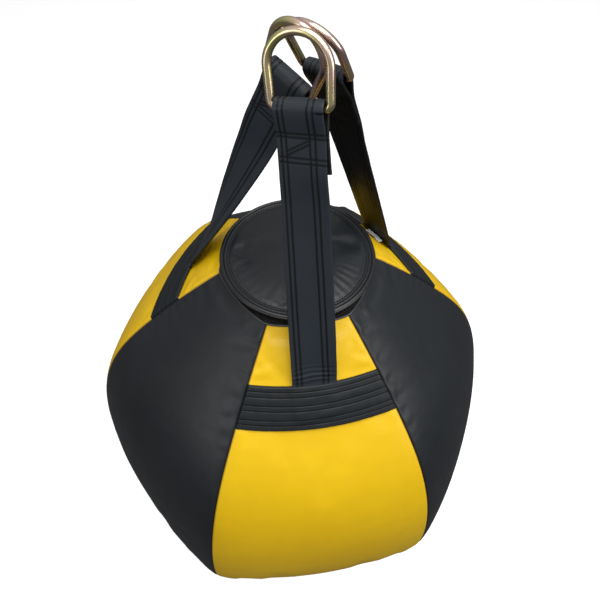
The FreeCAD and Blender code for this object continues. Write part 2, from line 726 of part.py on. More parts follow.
def make_lid():
    """Round vinyl lid: a rolled rim, a domed panel and a foam disc below it."""
    make_hoop("lid_rim", sized("rim_inner"), sized("rim_outer"), sized("rim_base"), sized("rim_top"), "360")
    rim = PARTS[-1]
    turn = rim.Tip
    doc.recompute()
    shortest = 2 * math.pi * DIMENSIONS["rim_outer"] - 1
    edges = [f"Edge{index + 1}" for index, edge in enumerate(turn.Shape.Edges) if edge.Length > shortest]
    rounding = rim.newObject("PartDesign::Fillet", "lid_rim_rounding")
    rounding.Base = (turn, edges)
    bind(rounding, "Radius", "Sizes.rim_rounding")
    rim.Tip = rounding

    panel = new_body("lid_panel")
    sketch = new_sketch(panel, "lid_panel_section", "XZ_Plane")
    radius = DIMENSIONS["lid_radius"]
    low = DIMENSIONS["lid_base"]
    dome = DIMENSIONS["lid_dome"]
    thick = DIMENSIONS["lid_thickness"]

    def dome_height(distance):
        return dome * (1 - (distance / radius)**2)

    middle = radius / 2

    def dome_arc(base):
        return Part.Arc(Vector(0, base + dome, 0), Vector(middle, base + dome_height(middle), 0), Vector(radius, base, 0))

    sketch.addGeometry(dome_arc(low), False)
    sketch.addGeometry(Part.LineSegment(Vector(radius, low, 0), Vector(radius, low + thick, 0)), False)
    sketch.addGeometry(dome_arc(low + thick), False)
    sketch.addGeometry(Part.LineSegment(Vector(0, low + thick + dome, 0), Vector(0, low + dome, 0)), False)
    ends = []
    for arc in (0, 2):
        start = sketch.getPoint(arc, 1)
        ends.append((1, 2) if start.x < radius / 2 else (2, 1))
    (inner_a, outer_a), (inner_b, outer_b) = ends
    for first, first_end, second, second_end in ((0, outer_a, 1, 1), (1, 2, 2, outer_b), (2, inner_b, 3, 1),
                                                 (3, 2, 0, inner_a)):
        sketch.addConstraint(Sketcher.Constraint("Coincident", first, first_end, second, second_end))
    pin(sketch, 0, inner_a, 0, low + dome, None, "Sizes.lid_base + Sizes.lid_dome")
    pin(sketch, 0, outer_a, radius, low, "Sizes.lid_radius", "Sizes.lid_base")
    pin(sketch, 2, outer_b, radius, low + thick, "Sizes.lid_radius", "Sizes.lid_base + Sizes.lid_thickness")
    pin(sketch, 2, inner_b, 0, low + thick + dome, None, "Sizes.lid_base + Sizes.lid_dome + Sizes.lid_thickness")
    for arc in (0, 2):
        index = sketch.addConstraint(Sketcher.Constraint("Radius", arc, sketch.Geometry[arc].Radius))
        bind(sketch, f"Constraints[{index}]",
             "(Sizes.lid_radius * Sizes.lid_radius + Sizes.lid_dome * Sizes.lid_dome) / (2 * Sizes.lid_dome)")
    revolve(panel, sketch, "360", "lid_panel_turn")
    PARTS.append(panel)

    foam = new_body("lid_foam")
    outline = new_sketch(foam, "lid_foam_outline", "XY_Plane", at_height(DIMENSIONS["foam_base"]))
    add_circle(outline, 0, 0, DIMENSIONS["foam_radius"], "Sizes.foam_radius")
    pad(foam, outline, "Sizes.foam_top - Sizes.foam_base", "lid_foam_pad")
    PARTS.append(foam)


def make_lid_hinge_tape():
    """Fabric strip at the back on which the lid folds; it ends just below the rim."""
    make_hoop("lid_hinge_tape", sized("hinge_tape_inner"), sized("hinge_tape_outer"), sized("lower_tape_base"),
              sized("hinge_tape_top"), "Sizes.hinge_tape_sweep")
    PARTS[-1].Placement = about_z(90)


def radial_frame(angle, radius, height):
    """Frame on a vertical cylinder about Z: X along it, Y inwards, Z up; angle 0 is the front."""
    place = about_z(angle)
    return Placement(place.multVec(Vector(0, -radius, height)), place.Rotation)


SLIDER_EAR = 1.2
SLIDER_EAR_HALF_GAP = 2.2
SLIDER_EAR_PAST_PIN = 1.4
SLIDER_EAR_ROOT = 0.5        # how far an ear reaches into the block
SLIDER_EAR_DROP = 0.6        # how far an ear's top lies below the block's
TAB_PIN_OUT = 2.6            # from the slider's outer face out to the middle of the tab's pin
TAB_PIN_UP = 2.9             # from the slider's bottom up to the middle of the pin
TAB_PIN_RADIUS = 0.8
TAB_EYE_HOLE = 1.3
TAB_EYE_RADIUS = 2.1
TAB_SLOPE = 36.0
TAB_SIDE_ROOM = 0.5          # between the tab and each ear
TAB_NECK_END = 4.5           # lengths down the tab, from the pin's middle
TAB_SHOULDER = 7.5
TAB_SLOT_SHARE = 0.85        # the slot's lower end, as a share of the tab's length


def make_slider():
    """Zip slider outside the teeth, with two ears and a cross pin for its pull tab."""
    body = new_body("zip_slider")
    width = DIMENSIONS["slider_width"]
    depth = DIMENSIONS["slider_depth"]
    block = new_sketch(body, "slider_block", "XY_Plane")
    add_rectangle(block, width, depth, "Sizes.slider_width", "Sizes.slider_depth")
    pad(body, block, "Sizes.slider_height", "slider_block_pad")
    face = -depth / 2
    ear_tip = face - TAB_PIN_OUT - SLIDER_EAR_PAST_PIN
    for side in (-1, 1):
        near = side * SLIDER_EAR_HALF_GAP
        far = side * (SLIDER_EAR_HALF_GAP + SLIDER_EAR)
        low, high = sorted((near, far))
        ear = new_sketch(body, f"slider_ear_{'left' if side < 0 else 'right'}", "XY_Plane")
        add_outline(ear, [
            (low, ear_tip, None, None),
            (high, ear_tip, None, None),
            (high, face + SLIDER_EAR_ROOT, None, None),
            (low, face + SLIDER_EAR_ROOT, None, None),
        ])
        pad(body, ear, f"Sizes.slider_height - {SLIDER_EAR_DROP}", f"{ear.Name}_pad")
    pin_sketch = new_sketch(body, "slider_pin", "YZ_Plane")
    add_circle(pin_sketch, face - TAB_PIN_OUT, TAB_PIN_UP, TAB_PIN_RADIUS, str(TAB_PIN_RADIUS))
    pad(body, pin_sketch, str(2 * SLIDER_EAR_HALF_GAP + SLIDER_EAR), "slider_pin_pad", symmetric=True)
    radius = DIMENSIONS["slider_inner"] + depth / 2
    body.Placement = radial_frame(DIMENSIONS["slider_angle"], radius, DIMENSIONS["slider_base"])
    PARTS.append(body)


def make_pull_tab():
    """Flat pull tab with an eye round the slider's pin; it hangs outwards down the shoulder."""
    body = new_body("zip_pull_tab")
    eye = new_sketch(body, "tab_eye", "YZ_Plane")
    add_circle(eye, 0, 0, TAB_EYE_RADIUS, str(TAB_EYE_RADIUS))
    add_circle(eye, 0, 0, TAB_EYE_HOLE, str(TAB_EYE_HOLE))
    pad(body, eye, str(2 * (SLIDER_EAR_HALF_GAP - TAB_SIDE_ROOM)), "tab_eye_pad", symmetric=True)
    half_neck = SLIDER_EAR_HALF_GAP - TAB_SIDE_ROOM
    half = DIMENSIONS["tab_width"] / 2
    length = DIMENSIONS["tab_length"]
    thick = DIMENSIONS["tab_thickness"]
    start = -TAB_EYE_RADIUS + 0.5
    blade = new_sketch(body, "tab_blade", "XY_Plane", at_height(-thick / 2))
    add_outline(blade, [
        (-half_neck, start, None, None),
        (-half_neck, -TAB_NECK_END, None, None),
        (-half, -TAB_SHOULDER, "-Sizes.tab_width / 2", None),
        (-half, -length, "-Sizes.tab_width / 2", "-Sizes.tab_length"),
        (half, -length, "Sizes.tab_width / 2", "-Sizes.tab_length"),
        (half, -TAB_SHOULDER, "Sizes.tab_width / 2", None),
        (half_neck, -TAB_NECK_END, None, None),
        (half_neck, start, None, None),
    ])
    pad(body, blade, "Sizes.tab_thickness", "tab_blade_pad")
    slot = new_sketch(body, "tab_slot", "XY_Plane", at_height(-thick))
    add_rectangle(slot, half, length / 3, "Sizes.tab_width / 2", "Sizes.tab_length / 3",
                  -length * TAB_SLOT_SHARE, f"-Sizes.tab_length * {TAB_SLOT_SHARE}")
    doc.recompute()
    before = body.Shape.Volume
    cut = body.newObject("PartDesign::Pocket", "tab_slot_cut")
    cut.Profile = slot
    cut.Reversed = True
    bind(cut, "Length", "Sizes.tab_thickness * 3")
    body.Tip = cut
    doc.recompute()
    if body.Shape.Volume > before - 1.0:
        raise RuntimeError("the pull tab's slot cuts nothing")
    radius = DIMENSIONS["slider_inner"] + DIMENSIONS["slider_depth"] + TAB_PIN_OUT
    frame = radial_frame(DIMENSIONS["slider_angle"], radius, DIMENSIONS["slider_base"] + TAB_PIN_UP)
    body.Placement = frame.multiply(Placement(Vector(0, 0, 0), Rotation(Vector(1, 0, 0), TAB_SLOPE)))
    PARTS.append(body)


LABEL_LEFT = -16.0
LABEL_LIFT = 1.0
LABEL_UPHILL = 4.5           # from the strap's fold line up to the label's lower edge


def make_label():
    """Small blank sewn label on the right yellow panel, above its anchor."""
    body = new_body("blank_label")
    box = body.newObject("PartDesign::AdditiveBox", "label_box")
    box.AttachmentSupport = [(plane(body, "XY_Plane"), "")]
    box.MapMode = "FlatFace"
    uphill = -DOWNHILL
    corner = Vector(LABEL_LEFT, -FOOT_PANEL_RADIUS, FOOT_HEIGHT) + NORMAL * LABEL_LIFT + uphill * LABEL_UPHILL
    box.AttachmentOffset = Placement(corner, Rotation(Vector(1, 0, 0), uphill, NORMAL, "ZYX"))
    bind(box, "Length", "Sizes.label_width")
    bind(box, "Width", "Sizes.label_height")
    bind(box, "Height", "Sizes.label_thickness")
    body.Tip = box
    body.Placement = about_z(SIDES["right"])
    PARTS.append(body)


# ---------------------------------------------------------------- filling

def make_filling():
    """Foam liner inside the shell, and the packed textile filling inside the liner."""
    liner = new_body("foam_liner")
    core = new_body("filler_core")
    outside = []
    inside = []
    core_sections = []
    for index in FILLED_STATIONS:
        height = STATIONS[index][0]
        outer = layer_radius("shell", STATIONS, index, "liner_start")
        inner = layer_radius("shell", STATIONS, index, "liner_end")
        fill = layer_radius("shell", STATIONS, index, "core_start")
        outside.append(ring_section(liner, f"liner_outside_{index}", height, *outer))
        inside.append(ring_section(liner, f"liner_inside_{index}", height, *inner))
        core_sections.append(ring_section(core, f"core_{index}", height, *fill))
    loft(liner, "PartDesign::AdditiveLoft", outside, "liner_block")
    loft(liner, "PartDesign::SubtractiveLoft", inside, "liner_hollow")
    PARTS.append(liner)
    loft(core, "PartDesign::AdditiveLoft", core_sections, "core_loft")
    PARTS.append(core)


# ---------------------------------------------------------------- build and write

make_shell()
make_base()
make_bands_and_patches()
for side in SIDES:
    make_strap_tail(side)
    make_strap(side)
    make_strap_loop(side)
    make_ring(side)
make_neck_binding()
make_zip()
make_lid()
make_lid_hinge_tape()
make_slider()
make_pull_tab()
make_label()
make_filling()
doc.recompute()

for item in doc.Objects:
    if "Invalid" in item.State or "Error" in item.State:
        raise RuntimeError(f"{item.Label} did not build: {item.State}")
for part in PARTS:
    if part.Shape.isNull() or not part.Shape.isValid() or part.Shape.Volume <= 0:
        raise RuntimeError(f"{part.Label} has no valid shape")

os.makedirs("parts", exist_ok=True)
for part in PARTS:
    part.Shape.exportStep(f"parts/{part.Label}.step")
    box = part.Shape.BoundBox
    print(f"{part.Label}: {len(part.Shape.Solids)} solid, {part.Shape.Volume / 1000:.2f} cm3, "
          f"z {box.ZMin:.1f} to {box.ZMax:.1f}")
for side in SIDES:
    frame, length = strap_frame(side)
    print(side, "foot", frame.Base, "length", round(length, 1), "twist", round(twist_of(side), 1))
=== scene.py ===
import json
import math

import bpy
import numpy as np
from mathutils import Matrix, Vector


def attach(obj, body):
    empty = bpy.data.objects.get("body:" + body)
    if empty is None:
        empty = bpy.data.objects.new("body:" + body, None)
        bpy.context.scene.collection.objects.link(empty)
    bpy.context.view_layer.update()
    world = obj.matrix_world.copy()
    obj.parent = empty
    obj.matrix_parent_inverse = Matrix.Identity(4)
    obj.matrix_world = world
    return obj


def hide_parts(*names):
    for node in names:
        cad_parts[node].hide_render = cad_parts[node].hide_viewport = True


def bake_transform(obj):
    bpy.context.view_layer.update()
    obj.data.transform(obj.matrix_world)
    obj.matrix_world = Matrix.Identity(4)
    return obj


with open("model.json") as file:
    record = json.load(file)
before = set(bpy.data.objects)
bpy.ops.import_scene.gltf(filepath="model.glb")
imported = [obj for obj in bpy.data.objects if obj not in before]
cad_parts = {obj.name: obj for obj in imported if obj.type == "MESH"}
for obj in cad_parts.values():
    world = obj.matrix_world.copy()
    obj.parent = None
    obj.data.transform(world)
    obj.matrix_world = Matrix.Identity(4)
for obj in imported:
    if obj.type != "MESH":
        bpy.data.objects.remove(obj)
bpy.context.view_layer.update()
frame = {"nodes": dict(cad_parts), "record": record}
nodes = frame["nodes"]

# Teardrop heavy bag: six vinyl gores, sewn anchor bands, three straps with D-rings, a zipped lid.
# Metres, +Z up along the bag's axis, front yellow panel and front strap towards -Y.

# ---- the bag's form

# Seam line from the base up to the neck: height and seam radius, as in the CAD.
STATIONS = np.array([
    (0.0, 104.0), (12.0, 142.0), (30.0, 182.0), (60.0, 223.0), (100.0, 255.0),
    (150.0, 273.5), (194.0, 277.0), (250.0, 272.8), (310.0, 258.0), (364.0, 231.3),
    (419.4, 184.2), (456.1, 145.4), (498.6, 93.5),
]) / 1000
FLATNESS = 0.5
COS30 = math.cos(math.radians(30))
MIDDLE = 1 - FLATNESS * (1 - COS30)          # panel's mid radius over its seam radius
SAGITTA = MIDDLE - COS30
BULGE = (0.25 + SAGITTA**2) / (2 * SAGITTA)  # radius of a panel's arc over the seam radius
HALF_ARC = math.asin(0.5 / BULGE)

YELLOW = {"front": 0, "right": 120, "left": -120}
BLACK = {"front_right": 60, "back": 180, "front_left": -60}

FOOT_HEIGHT = 0.4598
FOOT_LIFT = 0.0042
BAND_LOW = 0.4194
BAND_HIGH = 0.4553
# Middle of each ring's bar, the bar's direction and the direction of the ring's arch.
TOPS = {
    "front": ((-0.0046, -0.0207, 0.7449), (0.852, -0.481, 0.208), (-0.023, 0.363, 0.932)),
    "right": ((0.031, 0.0428, 0.7365), (0.664, -0.734, 0.142), (-0.387, -0.175, 0.905)),
    "left": ((-0.0085, 0.028, 0.7416), (0.641, -0.686, -0.345), (0.19, -0.294, 0.937)),
}


def spline(knots, values, at):
    """Natural cubic spline through values (n, or n by m) at increasing knots."""
    knots = np.asarray(knots, float)
    values = np.asarray(values, float)
    flat = values.reshape(len(knots), -1)
    step = np.diff(knots)
    slope = np.diff(flat, axis=0) / step[:, None]
    matrix = np.eye(len(knots))
    right = np.zeros_like(flat)
    for i in range(1, len(knots) - 1):
        matrix[i, i - 1:i + 2] = step[i - 1], 2 * (step[i - 1] + step[i]), step[i]
        right[i] = 6 * (slope[i] - slope[i - 1])
    bend = np.linalg.solve(matrix, right)
    at = np.asarray(at, float)
    i = np.clip(np.searchsorted(knots, at) - 1, 0, len(step) - 1)
    h = step[i][:, None]
    low = (knots[i + 1] - at)[:, None]
    high = (at - knots[i])[:, None]
    out = (bend[i] * low**3 + bend[i + 1] * high**3) / (6 * h)
    out += (flat[i] / h - bend[i] * h / 6) * low + (flat[i + 1] / h - bend[i + 1] * h / 6) * high
    return out.reshape((len(at),) + values.shape[1:])


def unit(v):
    v = np.asarray(v, float)
    return v / np.linalg.norm(v, axis=-1, keepdims=True)


chords = np.concatenate([[0], np.cumsum(np.hypot(*np.diff(STATIONS, axis=0).T))])
fine = spline(chords, STATIONS, np.linspace(0, chords[-1], 1500))
fine = np.clip(fine, 0, None)
RISE = fine[:, 0]
SEAM = fine[:, 1]
ALONG = np.concatenate([[0], np.cumsum(np.hypot(np.diff(RISE), np.diff(SEAM) * MIDDLE))])
PANEL = ALONG[-1]                            # length of a panel's middle line, base to neck


def along_at(height):
    return float(np.interp(height, RISE, ALONG))


def seam_radius(s):
    return np.interp(s, ALONG, SEAM)


def flat_gore(u, s):
    """Point of the front gore: u is -1 to 1 from seam to seam, s the distance up its middle line."""
    radius = seam_radius(s)
    angle = u * HALF_ARC
    arc = radius * BULGE
    return np.stack([arc * np.sin(angle), -radius * MIDDLE + arc * (1 - np.cos(angle)),
                     np.interp(s, ALONG, RISE)], axis=-1)


def gore_normal(u, s):
    du = flat_gore(u + 0.002, s) - flat_gore(u - 0.002, s)
    low = np.clip(s - 0.001, 0, PANEL)
    high = np.clip(s + 0.001, 0, PANEL)
    return unit(np.cross(du, flat_gore(u, high) - flat_gore(u, low)))


def side_metres(u, s):
    """Distance across a panel, from its middle line out to u."""
    return u * seam_radius(s) * BULGE * HALF_ARC


def seam_gap(u, s):
    return side_metres(1 - np.abs(u), s)


def polar(radius, angle, height):
    """Points round the Z axis: angle 0 is the front, and it turns towards the right."""
    return np.stack([radius * np.sin(angle), -radius * np.cos(angle), height + 0 * angle], -1)


def full_circle(count):
    return np.arange(count) * 2 * math.pi / count


def run_along(line):
    """Distance along a line of points, at each of them."""
    return np.concatenate([[0], np.cumsum(np.linalg.norm(np.diff(line, axis=0), axis=1))])


def points_at(at, run, line):
    return np.stack([np.interp(at, run, line[:, k]) for k in range(3)], -1)


def turned(points, degrees):
    angle = math.radians(degrees)
    c, s = math.cos(angle), math.sin(angle)
    return np.asarray(points, float) @ np.array([[c, s, 0], [-s, c, 0], [0, 0, 1]])


def ripple(x, y, seed, scale):
    """Smooth wandering value around zero, from a few fixed waves; scale is in metres."""
    rng = np.random.default_rng(seed)
    total = np.zeros(np.broadcast(x, y).shape)
    for _ in range(7):
        heading = rng.uniform(0, 2 * math.pi)
        length = scale * rng.uniform(0.6, 1.8)
        phase = rng.uniform(0, 2 * math.pi)
        total += np.sin((x * math.cos(heading) + y * math.sin(heading)) * 2 * math.pi / length + phase)
    return total / 7


def bump(x, centre, width):
    return np.exp(-((x - centre) / width)**2)


def ease(t):
    return t * t * (3 - 2 * t)


def step(x, low, high):
    return ease(np.clip((x - low) / (high - low), 0, 1))


def everywhere(direction, line):
    return np.tile(np.asarray(direction, float), (len(line), 1))


def directions(closed_line):
    return unit(np.roll(closed_line, -1, 0) - np.roll(closed_line, 1, 0))


# ---- mesh helpers

def grid_faces(rows, columns, wrap_rows=False, wrap_columns=False):
    r = np.arange(rows if wrap_rows else rows - 1)
    c = np.arange(columns if wrap_columns else columns - 1)
    r, c = np.meshgrid(r, c, indexing="ij")
    r2 = (r + 1) % rows
    c2 = (c + 1) % columns
    return np.stack([r * columns + c, r * columns + c2, r2 * columns + c2, r2 * columns + c], -1).reshape(-1, 4)


def tube_faces(rows, count):
    """Faces of a tube of closed rings, with a lid on both its ends."""
    faces = grid_faces(rows, count, wrap_columns=True).tolist()
    faces.append(list(range(count))[::-1])
    faces.append([(rows - 1) * count + i for i in range(count)])
    return faces


def disc_faces(rings, count):
    """Faces of rings round a middle, seen from above, with the innermost ring filled."""
    return grid_faces(rings, count, wrap_columns=True)[:, ::-1].tolist() + [list(range(count))]


def make_mesh(name, points, faces, uv=None):
    """A smooth-shaded object. Of each point's uv, the first is its distance from a seam or a row of thread."""
    mesh = bpy.data.meshes.new(name)
    mesh.from_pydata(np.asarray(points, float).reshape(-1, 3).tolist(), [], [list(map(int, f)) for f in faces])
    if uv is not None:
        layer = mesh.uv_layers.new(name="metres")
        loops = np.zeros(len(mesh.loops), np.int64)
        mesh.loops.foreach_get("vertex_index", loops)
        layer.data.foreach_set("uv", np.asarray(uv, np.float32).reshape(-1, 2)[loops].ravel())
    mesh.validate()
    mesh.polygons.foreach_set("use_smooth", np.ones(len(mesh.polygons), bool))
    mesh.update()
    obj = bpy.data.objects.new(name, mesh)
    bpy.context.scene.collection.objects.link(obj)
    return obj


def finish_piece(obj, slot, body, node=None, material=None):
    """A piece's looks, from its slot's material unless a material is given, the body it rides on and the node it
    replaces.
    """
    obj.data.materials.append(material or MATERIALS[slot])
    if body:
        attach(obj, body)
    if node:
        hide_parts(node)


def sweep(name, path, across, normal, section, closed=False):
    """Moves a closed section, in (across, normal) metres, along a path of points."""
    path = np.asarray(path, float)
    section = np.asarray(section, float)
    points = (path[:, None, :] + section[None, :, 0, None] * across[:, None, :]
              + section[None, :, 1, None] * normal[:, None, :])
    if closed:
        faces = grid_faces(len(path), len(section), wrap_rows=True, wrap_columns=True)
    else:
        faces = tube_faces(len(path), len(section))
    return make_mesh(name, points, faces)


def circle_section(radius, count):
    angle = full_circle(count)
    return np.stack([radius * np.cos(angle), radius * np.sin(angle)], -1)


def scatter(name, shape, shape_faces, placements):
    """Copies of a small shape in one mesh; a placement is its centre and its three directions."""
    points = []
    faces = []
    for centre, x, y, z in placements:
        start = len(points) * len(shape)
        points.append(centre + shape[:, :1] * x + shape[:, 1:2] * y + shape[:, 2:] * z)
        faces += [[start + i for i in face] for face in shape_faces]
    return make_mesh(name, np.concatenate(points), faces)


STITCH_PITCH = 0.0036
STITCH_LENGTH = 0.0026
STITCH_WIDTH = 0.0008
STITCH_HEIGHT = 0.00055
STITCH_SIDES = 6
STITCH_SHAPE = ((-0.5, 0.25), (-0.36, 0.85), (0.0, 1.0), (0.36, 0.85), (0.5, 0.25))   # place, thickness
LOOK_AHEAD = 0.0005                          # over which a row's direction is taken


def stitch_mesh(name, rows):
    """Thread stitches along rows; each row is (points, normals), a dense line on a surface."""
    shape = []
    for along, fat in STITCH_SHAPE:
        for a in full_circle(STITCH_SIDES):
            shape.append((along * STITCH_LENGTH, fat * STITCH_WIDTH / 2 * math.cos(a),
                          fat * STITCH_HEIGHT * math.sin(a) - abs(along) * STITCH_HEIGHT * 1.2))
    placements = []
    for line, normals in rows:
        run = run_along(line)
        count = max(1, int(run[-1] / STITCH_PITCH))
        places = (np.arange(count) + 0.5) * run[-1] / count
        ahead = points_at(places + LOOK_AHEAD, run, line)
        behind = points_at(places - LOOK_AHEAD, run, line)
        up = unit(points_at(places, run, normals))
        forward = unit(ahead - behind + 1e-12)
        side = unit(np.cross(up, forward))
        placements += zip(points_at(places, run, line), forward, side, up)
    return scatter(name, np.array(shape), tube_faces(len(STITCH_SHAPE), STITCH_SIDES), placements)


# ---- materials

def new_material(name):
    """A material, its tree and shader, and the object's own coordinates."""
    material = bpy.data.materials.new(name)
    material.use_nodes = True
    tree = material.node_tree
    tree.nodes.clear()
    out = tree.nodes.new("ShaderNodeOutputMaterial")
    shader = tree.nodes.new("ShaderNodeBsdfPrincipled")
    tree.links.new(shader.outputs[0], out.inputs[0])
    return material, tree, shader, tree.nodes.new("ShaderNodeTexCoord").outputs["Object"]


def set_inputs(tree, node, inputs):
    """Links a socket or sets a value at each of a node's inputs."""
    for key, value in inputs.items():
        socket = node.inputs[key]
        if isinstance(value, bpy.types.NodeSocket):
            tree.links.new(value, socket)
        else:
            socket.default_value = (*value, 1) if socket.type == "RGBA" else value
    return node


def add_node(tree, kind, inputs, **settings):
    node = tree.nodes.new(kind)
    for key, value in settings.items():
        setattr(node, key, value)
    return set_inputs(tree, node, inputs)


def noise(tree, coordinate, scale, detail=2.0):
    return add_node(tree, "ShaderNodeTexNoise", {"Vector": coordinate, "Scale": scale, "Detail": detail}).outputs["Fac"]


def remap(tree, value, low, high, to_low, to_high):
    node = add_node(tree, "ShaderNodeMapRange", {"Value": value, "From Min": low, "From Max": high,
                                                 "To Min": to_low, "To Max": to_high})
    return node.outputs[0]


def mix_colour(tree, factor, first, second):
    return add_node(tree, "ShaderNodeMix", {0: factor, 6: first, 7: second}, data_type="RGBA").outputs[2]


def math_node(tree, operation, first, second=0.0):
    return add_node(tree, "ShaderNodeMath", {0: first, 1: second}, operation=operation).outputs[0]


def dress(material, shader, inputs, bumps):
    """Sets a shader's inputs and its bumps: (height socket, strength, distance in metres)."""
    tree = material.node_tree
    normal = {}
    for height, strength, distance in bumps:
        settings = {"Height": height, "Strength": strength, "Distance": distance, **normal}
        normal = {"Normal": add_node(tree, "ShaderNodeBump", settings).outputs[0]}
    set_inputs(tree, shader, {**inputs, **normal})
    return material


def vinyl(name, colour, deep, roughness, edge=None, back=None, specular=0.5):
    """Embossed satin vinyl: pebble grain, handling marks, painted shade in the grooves next to the seams and stitched
    rows (edge), and painted shade on faces turned towards the bag (back).
    """
    material, tree, shader, where = new_material(name)
    cloud = noise(tree, where, 7.0, 3.0)
    mottle = noise(tree, where, 55.0, 4.0)
    tone = mix_colour(tree, remap(tree, cloud, 0.35, 0.7, 0.0, 1.0), colour, deep)
    tone = mix_colour(tree, remap(tree, mottle, 0.45, 0.75, 0.0, 0.35), tone, deep)
    if edge is not None:
        metres = add_node(tree, "ShaderNodeUVMap", {}, uv_map="metres")
        parts = add_node(tree, "ShaderNodeSeparateXYZ", {0: metres.outputs[0]})
        # Painted shade: within about 2 mm of a seam or stitched row the colour darkens to edge, as if the groove lay in
        # shade.
        painted_groove_shade = remap(tree, parts.outputs[0], 0.0004, 0.0018, 0.85, 0.0)
        # Painted shade: where the second uv is 1, on strap faces turned towards the bag, the colour goes to back.
        if back is not None:
            tone = mix_colour(tree, remap(tree, parts.outputs[1], 0.0, 1.0, 0.0, 1.0), tone, back)
        tone = mix_colour(tree, painted_groove_shade, tone, edge)
    cells = add_node(tree, "ShaderNodeTexVoronoi", {"Vector": where, "Scale": 820.0}, feature="SMOOTH_F1").outputs[0]
    scuffs = noise(tree, where, 21.0, 6.0)
    rough = math_node(tree, "ADD", remap(tree, mottle, 0.3, 0.7, roughness - 0.05, roughness + 0.05),
                      remap(tree, scuffs, 0.55, 0.8, 0.0, 0.09))
    bumps = [(noise(tree, where, 34.0), 0.25, 0.0008), (cells, 0.22, 0.00022),
             (noise(tree, where, 1900.0), 0.15, 0.0001)]
    return dress(material, shader, {"Base Color": tone, "Roughness": rough, "Specular IOR Level": specular}, bumps)


def woven(name, colour, thread, pitch, roughness=0.75):
    """Woven cloth or tape: crossing threads at the given pitch in metres."""
    material, tree, shader, where = new_material(name)
    parts = add_node(tree, "ShaderNodeSeparateXYZ", {0: where})
    waves = []
    for axis in range(3):
        turns = math_node(tree, "MULTIPLY", parts.outputs[axis], 2 * math.pi / pitch)
        waves.append(math_node(tree, "SINE", turns))
    cross = math_node(tree, "MULTIPLY", math_node(tree, "ADD", waves[0], waves[1]), waves[2])
    level = remap(tree, cross, -1.5, 1.5, 0.0, 1.0)
    fuzz = noise(tree, where, 600.0, 4.0)
    tone = mix_colour(tree, level, colour, thread)
    tone = mix_colour(tree, remap(tree, fuzz, 0.3, 0.8, 0.0, 0.5), tone, colour)
    rough = remap(tree, fuzz, 0.2, 0.8, roughness - 0.08, roughness + 0.08)
    return dress(material, shader, {"Base Color": tone, "Roughness": rough, "Sheen Weight": 0.25},
                 [(level, 0.6, 0.0003), (fuzz, 0.3, 0.0001)])


def dotted(name, colour, dot, pitch):
    """Dark tape with a fine raised dot at the given pitch in metres."""
    material, tree, shader, where = new_material(name)
    cells = add_node(tree, "ShaderNodeTexVoronoi", {"Vector": where, "Scale": 1 / pitch, "Randomness": 0.35})
    level = remap(tree, cells.outputs["Distance"], 0.15, 0.38, 1.0, 0.0)
    tone = mix_colour(tree, level, colour, dot)
    return dress(material, shader, {"Base Color": tone, "Roughness": 0.7, "Specular IOR Level": 0.2},
                 [(level, 0.6, 0.0003)])


def thread(name, colour):
    material, tree, shader, where = new_material(name)
    ply = noise(tree, where, 2200.0, 1.0)
    tone = mix_colour(tree, ply, colour, tuple(c * 1.8 for c in colour))
    return dress(material, shader, {"Base Color": tone, "Roughness": 0.85, "Specular IOR Level": 0.15},
                 [(ply, 0.4, 0.0001)])


def plated_steel(name):
    """Yellow zinc plating: a thin film whose tint drifts from gold to green and pink."""
    material, tree, shader, where = new_material(name)
    ramp = add_node(tree, "ShaderNodeValToRGB", {0: noise(tree, where, 26.0)})
    stops = [(0.30, (0.56, 0.70, 0.30)), (0.42, (0.80, 0.70, 0.34)), (0.52, (0.90, 0.67, 0.48)),
             (0.62, (0.87, 0.60, 0.57)), (0.74, (0.74, 0.67, 0.36))]
    elements = ramp.color_ramp.elements
    while len(elements) < len(stops):
        elements.new(0.5)
    for element, (place, colour) in zip(elements, stops):
        element.position = place
        element.color = (*colour, 1)
    cloud = noise(tree, where, 160.0, 4.0)
    tone = mix_colour(tree, remap(tree, cloud, 0.5, 0.8, 0.0, 0.35), ramp.outputs[0], (0.45, 0.40, 0.30))
    rough = remap(tree, cloud, 0.3, 0.75, 0.14, 0.30)
    return dress(material, shader, {"Base Color": tone, "Metallic": 1.0, "Roughness": rough},
                 [(noise(tree, where, 240.0, 3.0), 0.08, 0.0004)])


def plain(name, colour, roughness, scale, strength=0.3, metallic=0.0):
    material, tree, shader, where = new_material(name)
    value = noise(tree, where, scale, 4.0)
    tone = mix_colour(tree, value, colour, tuple(c * 0.72 for c in colour))
    rough = remap(tree, value, 0.3, 0.7, roughness - 0.06, roughness + 0.06)
    return dress(material, shader, {"Base Color": tone, "Roughness": rough, "Metallic": metallic},
                 [(value, strength, 0.0004)])


def grey(value):
    return (value,) * 3


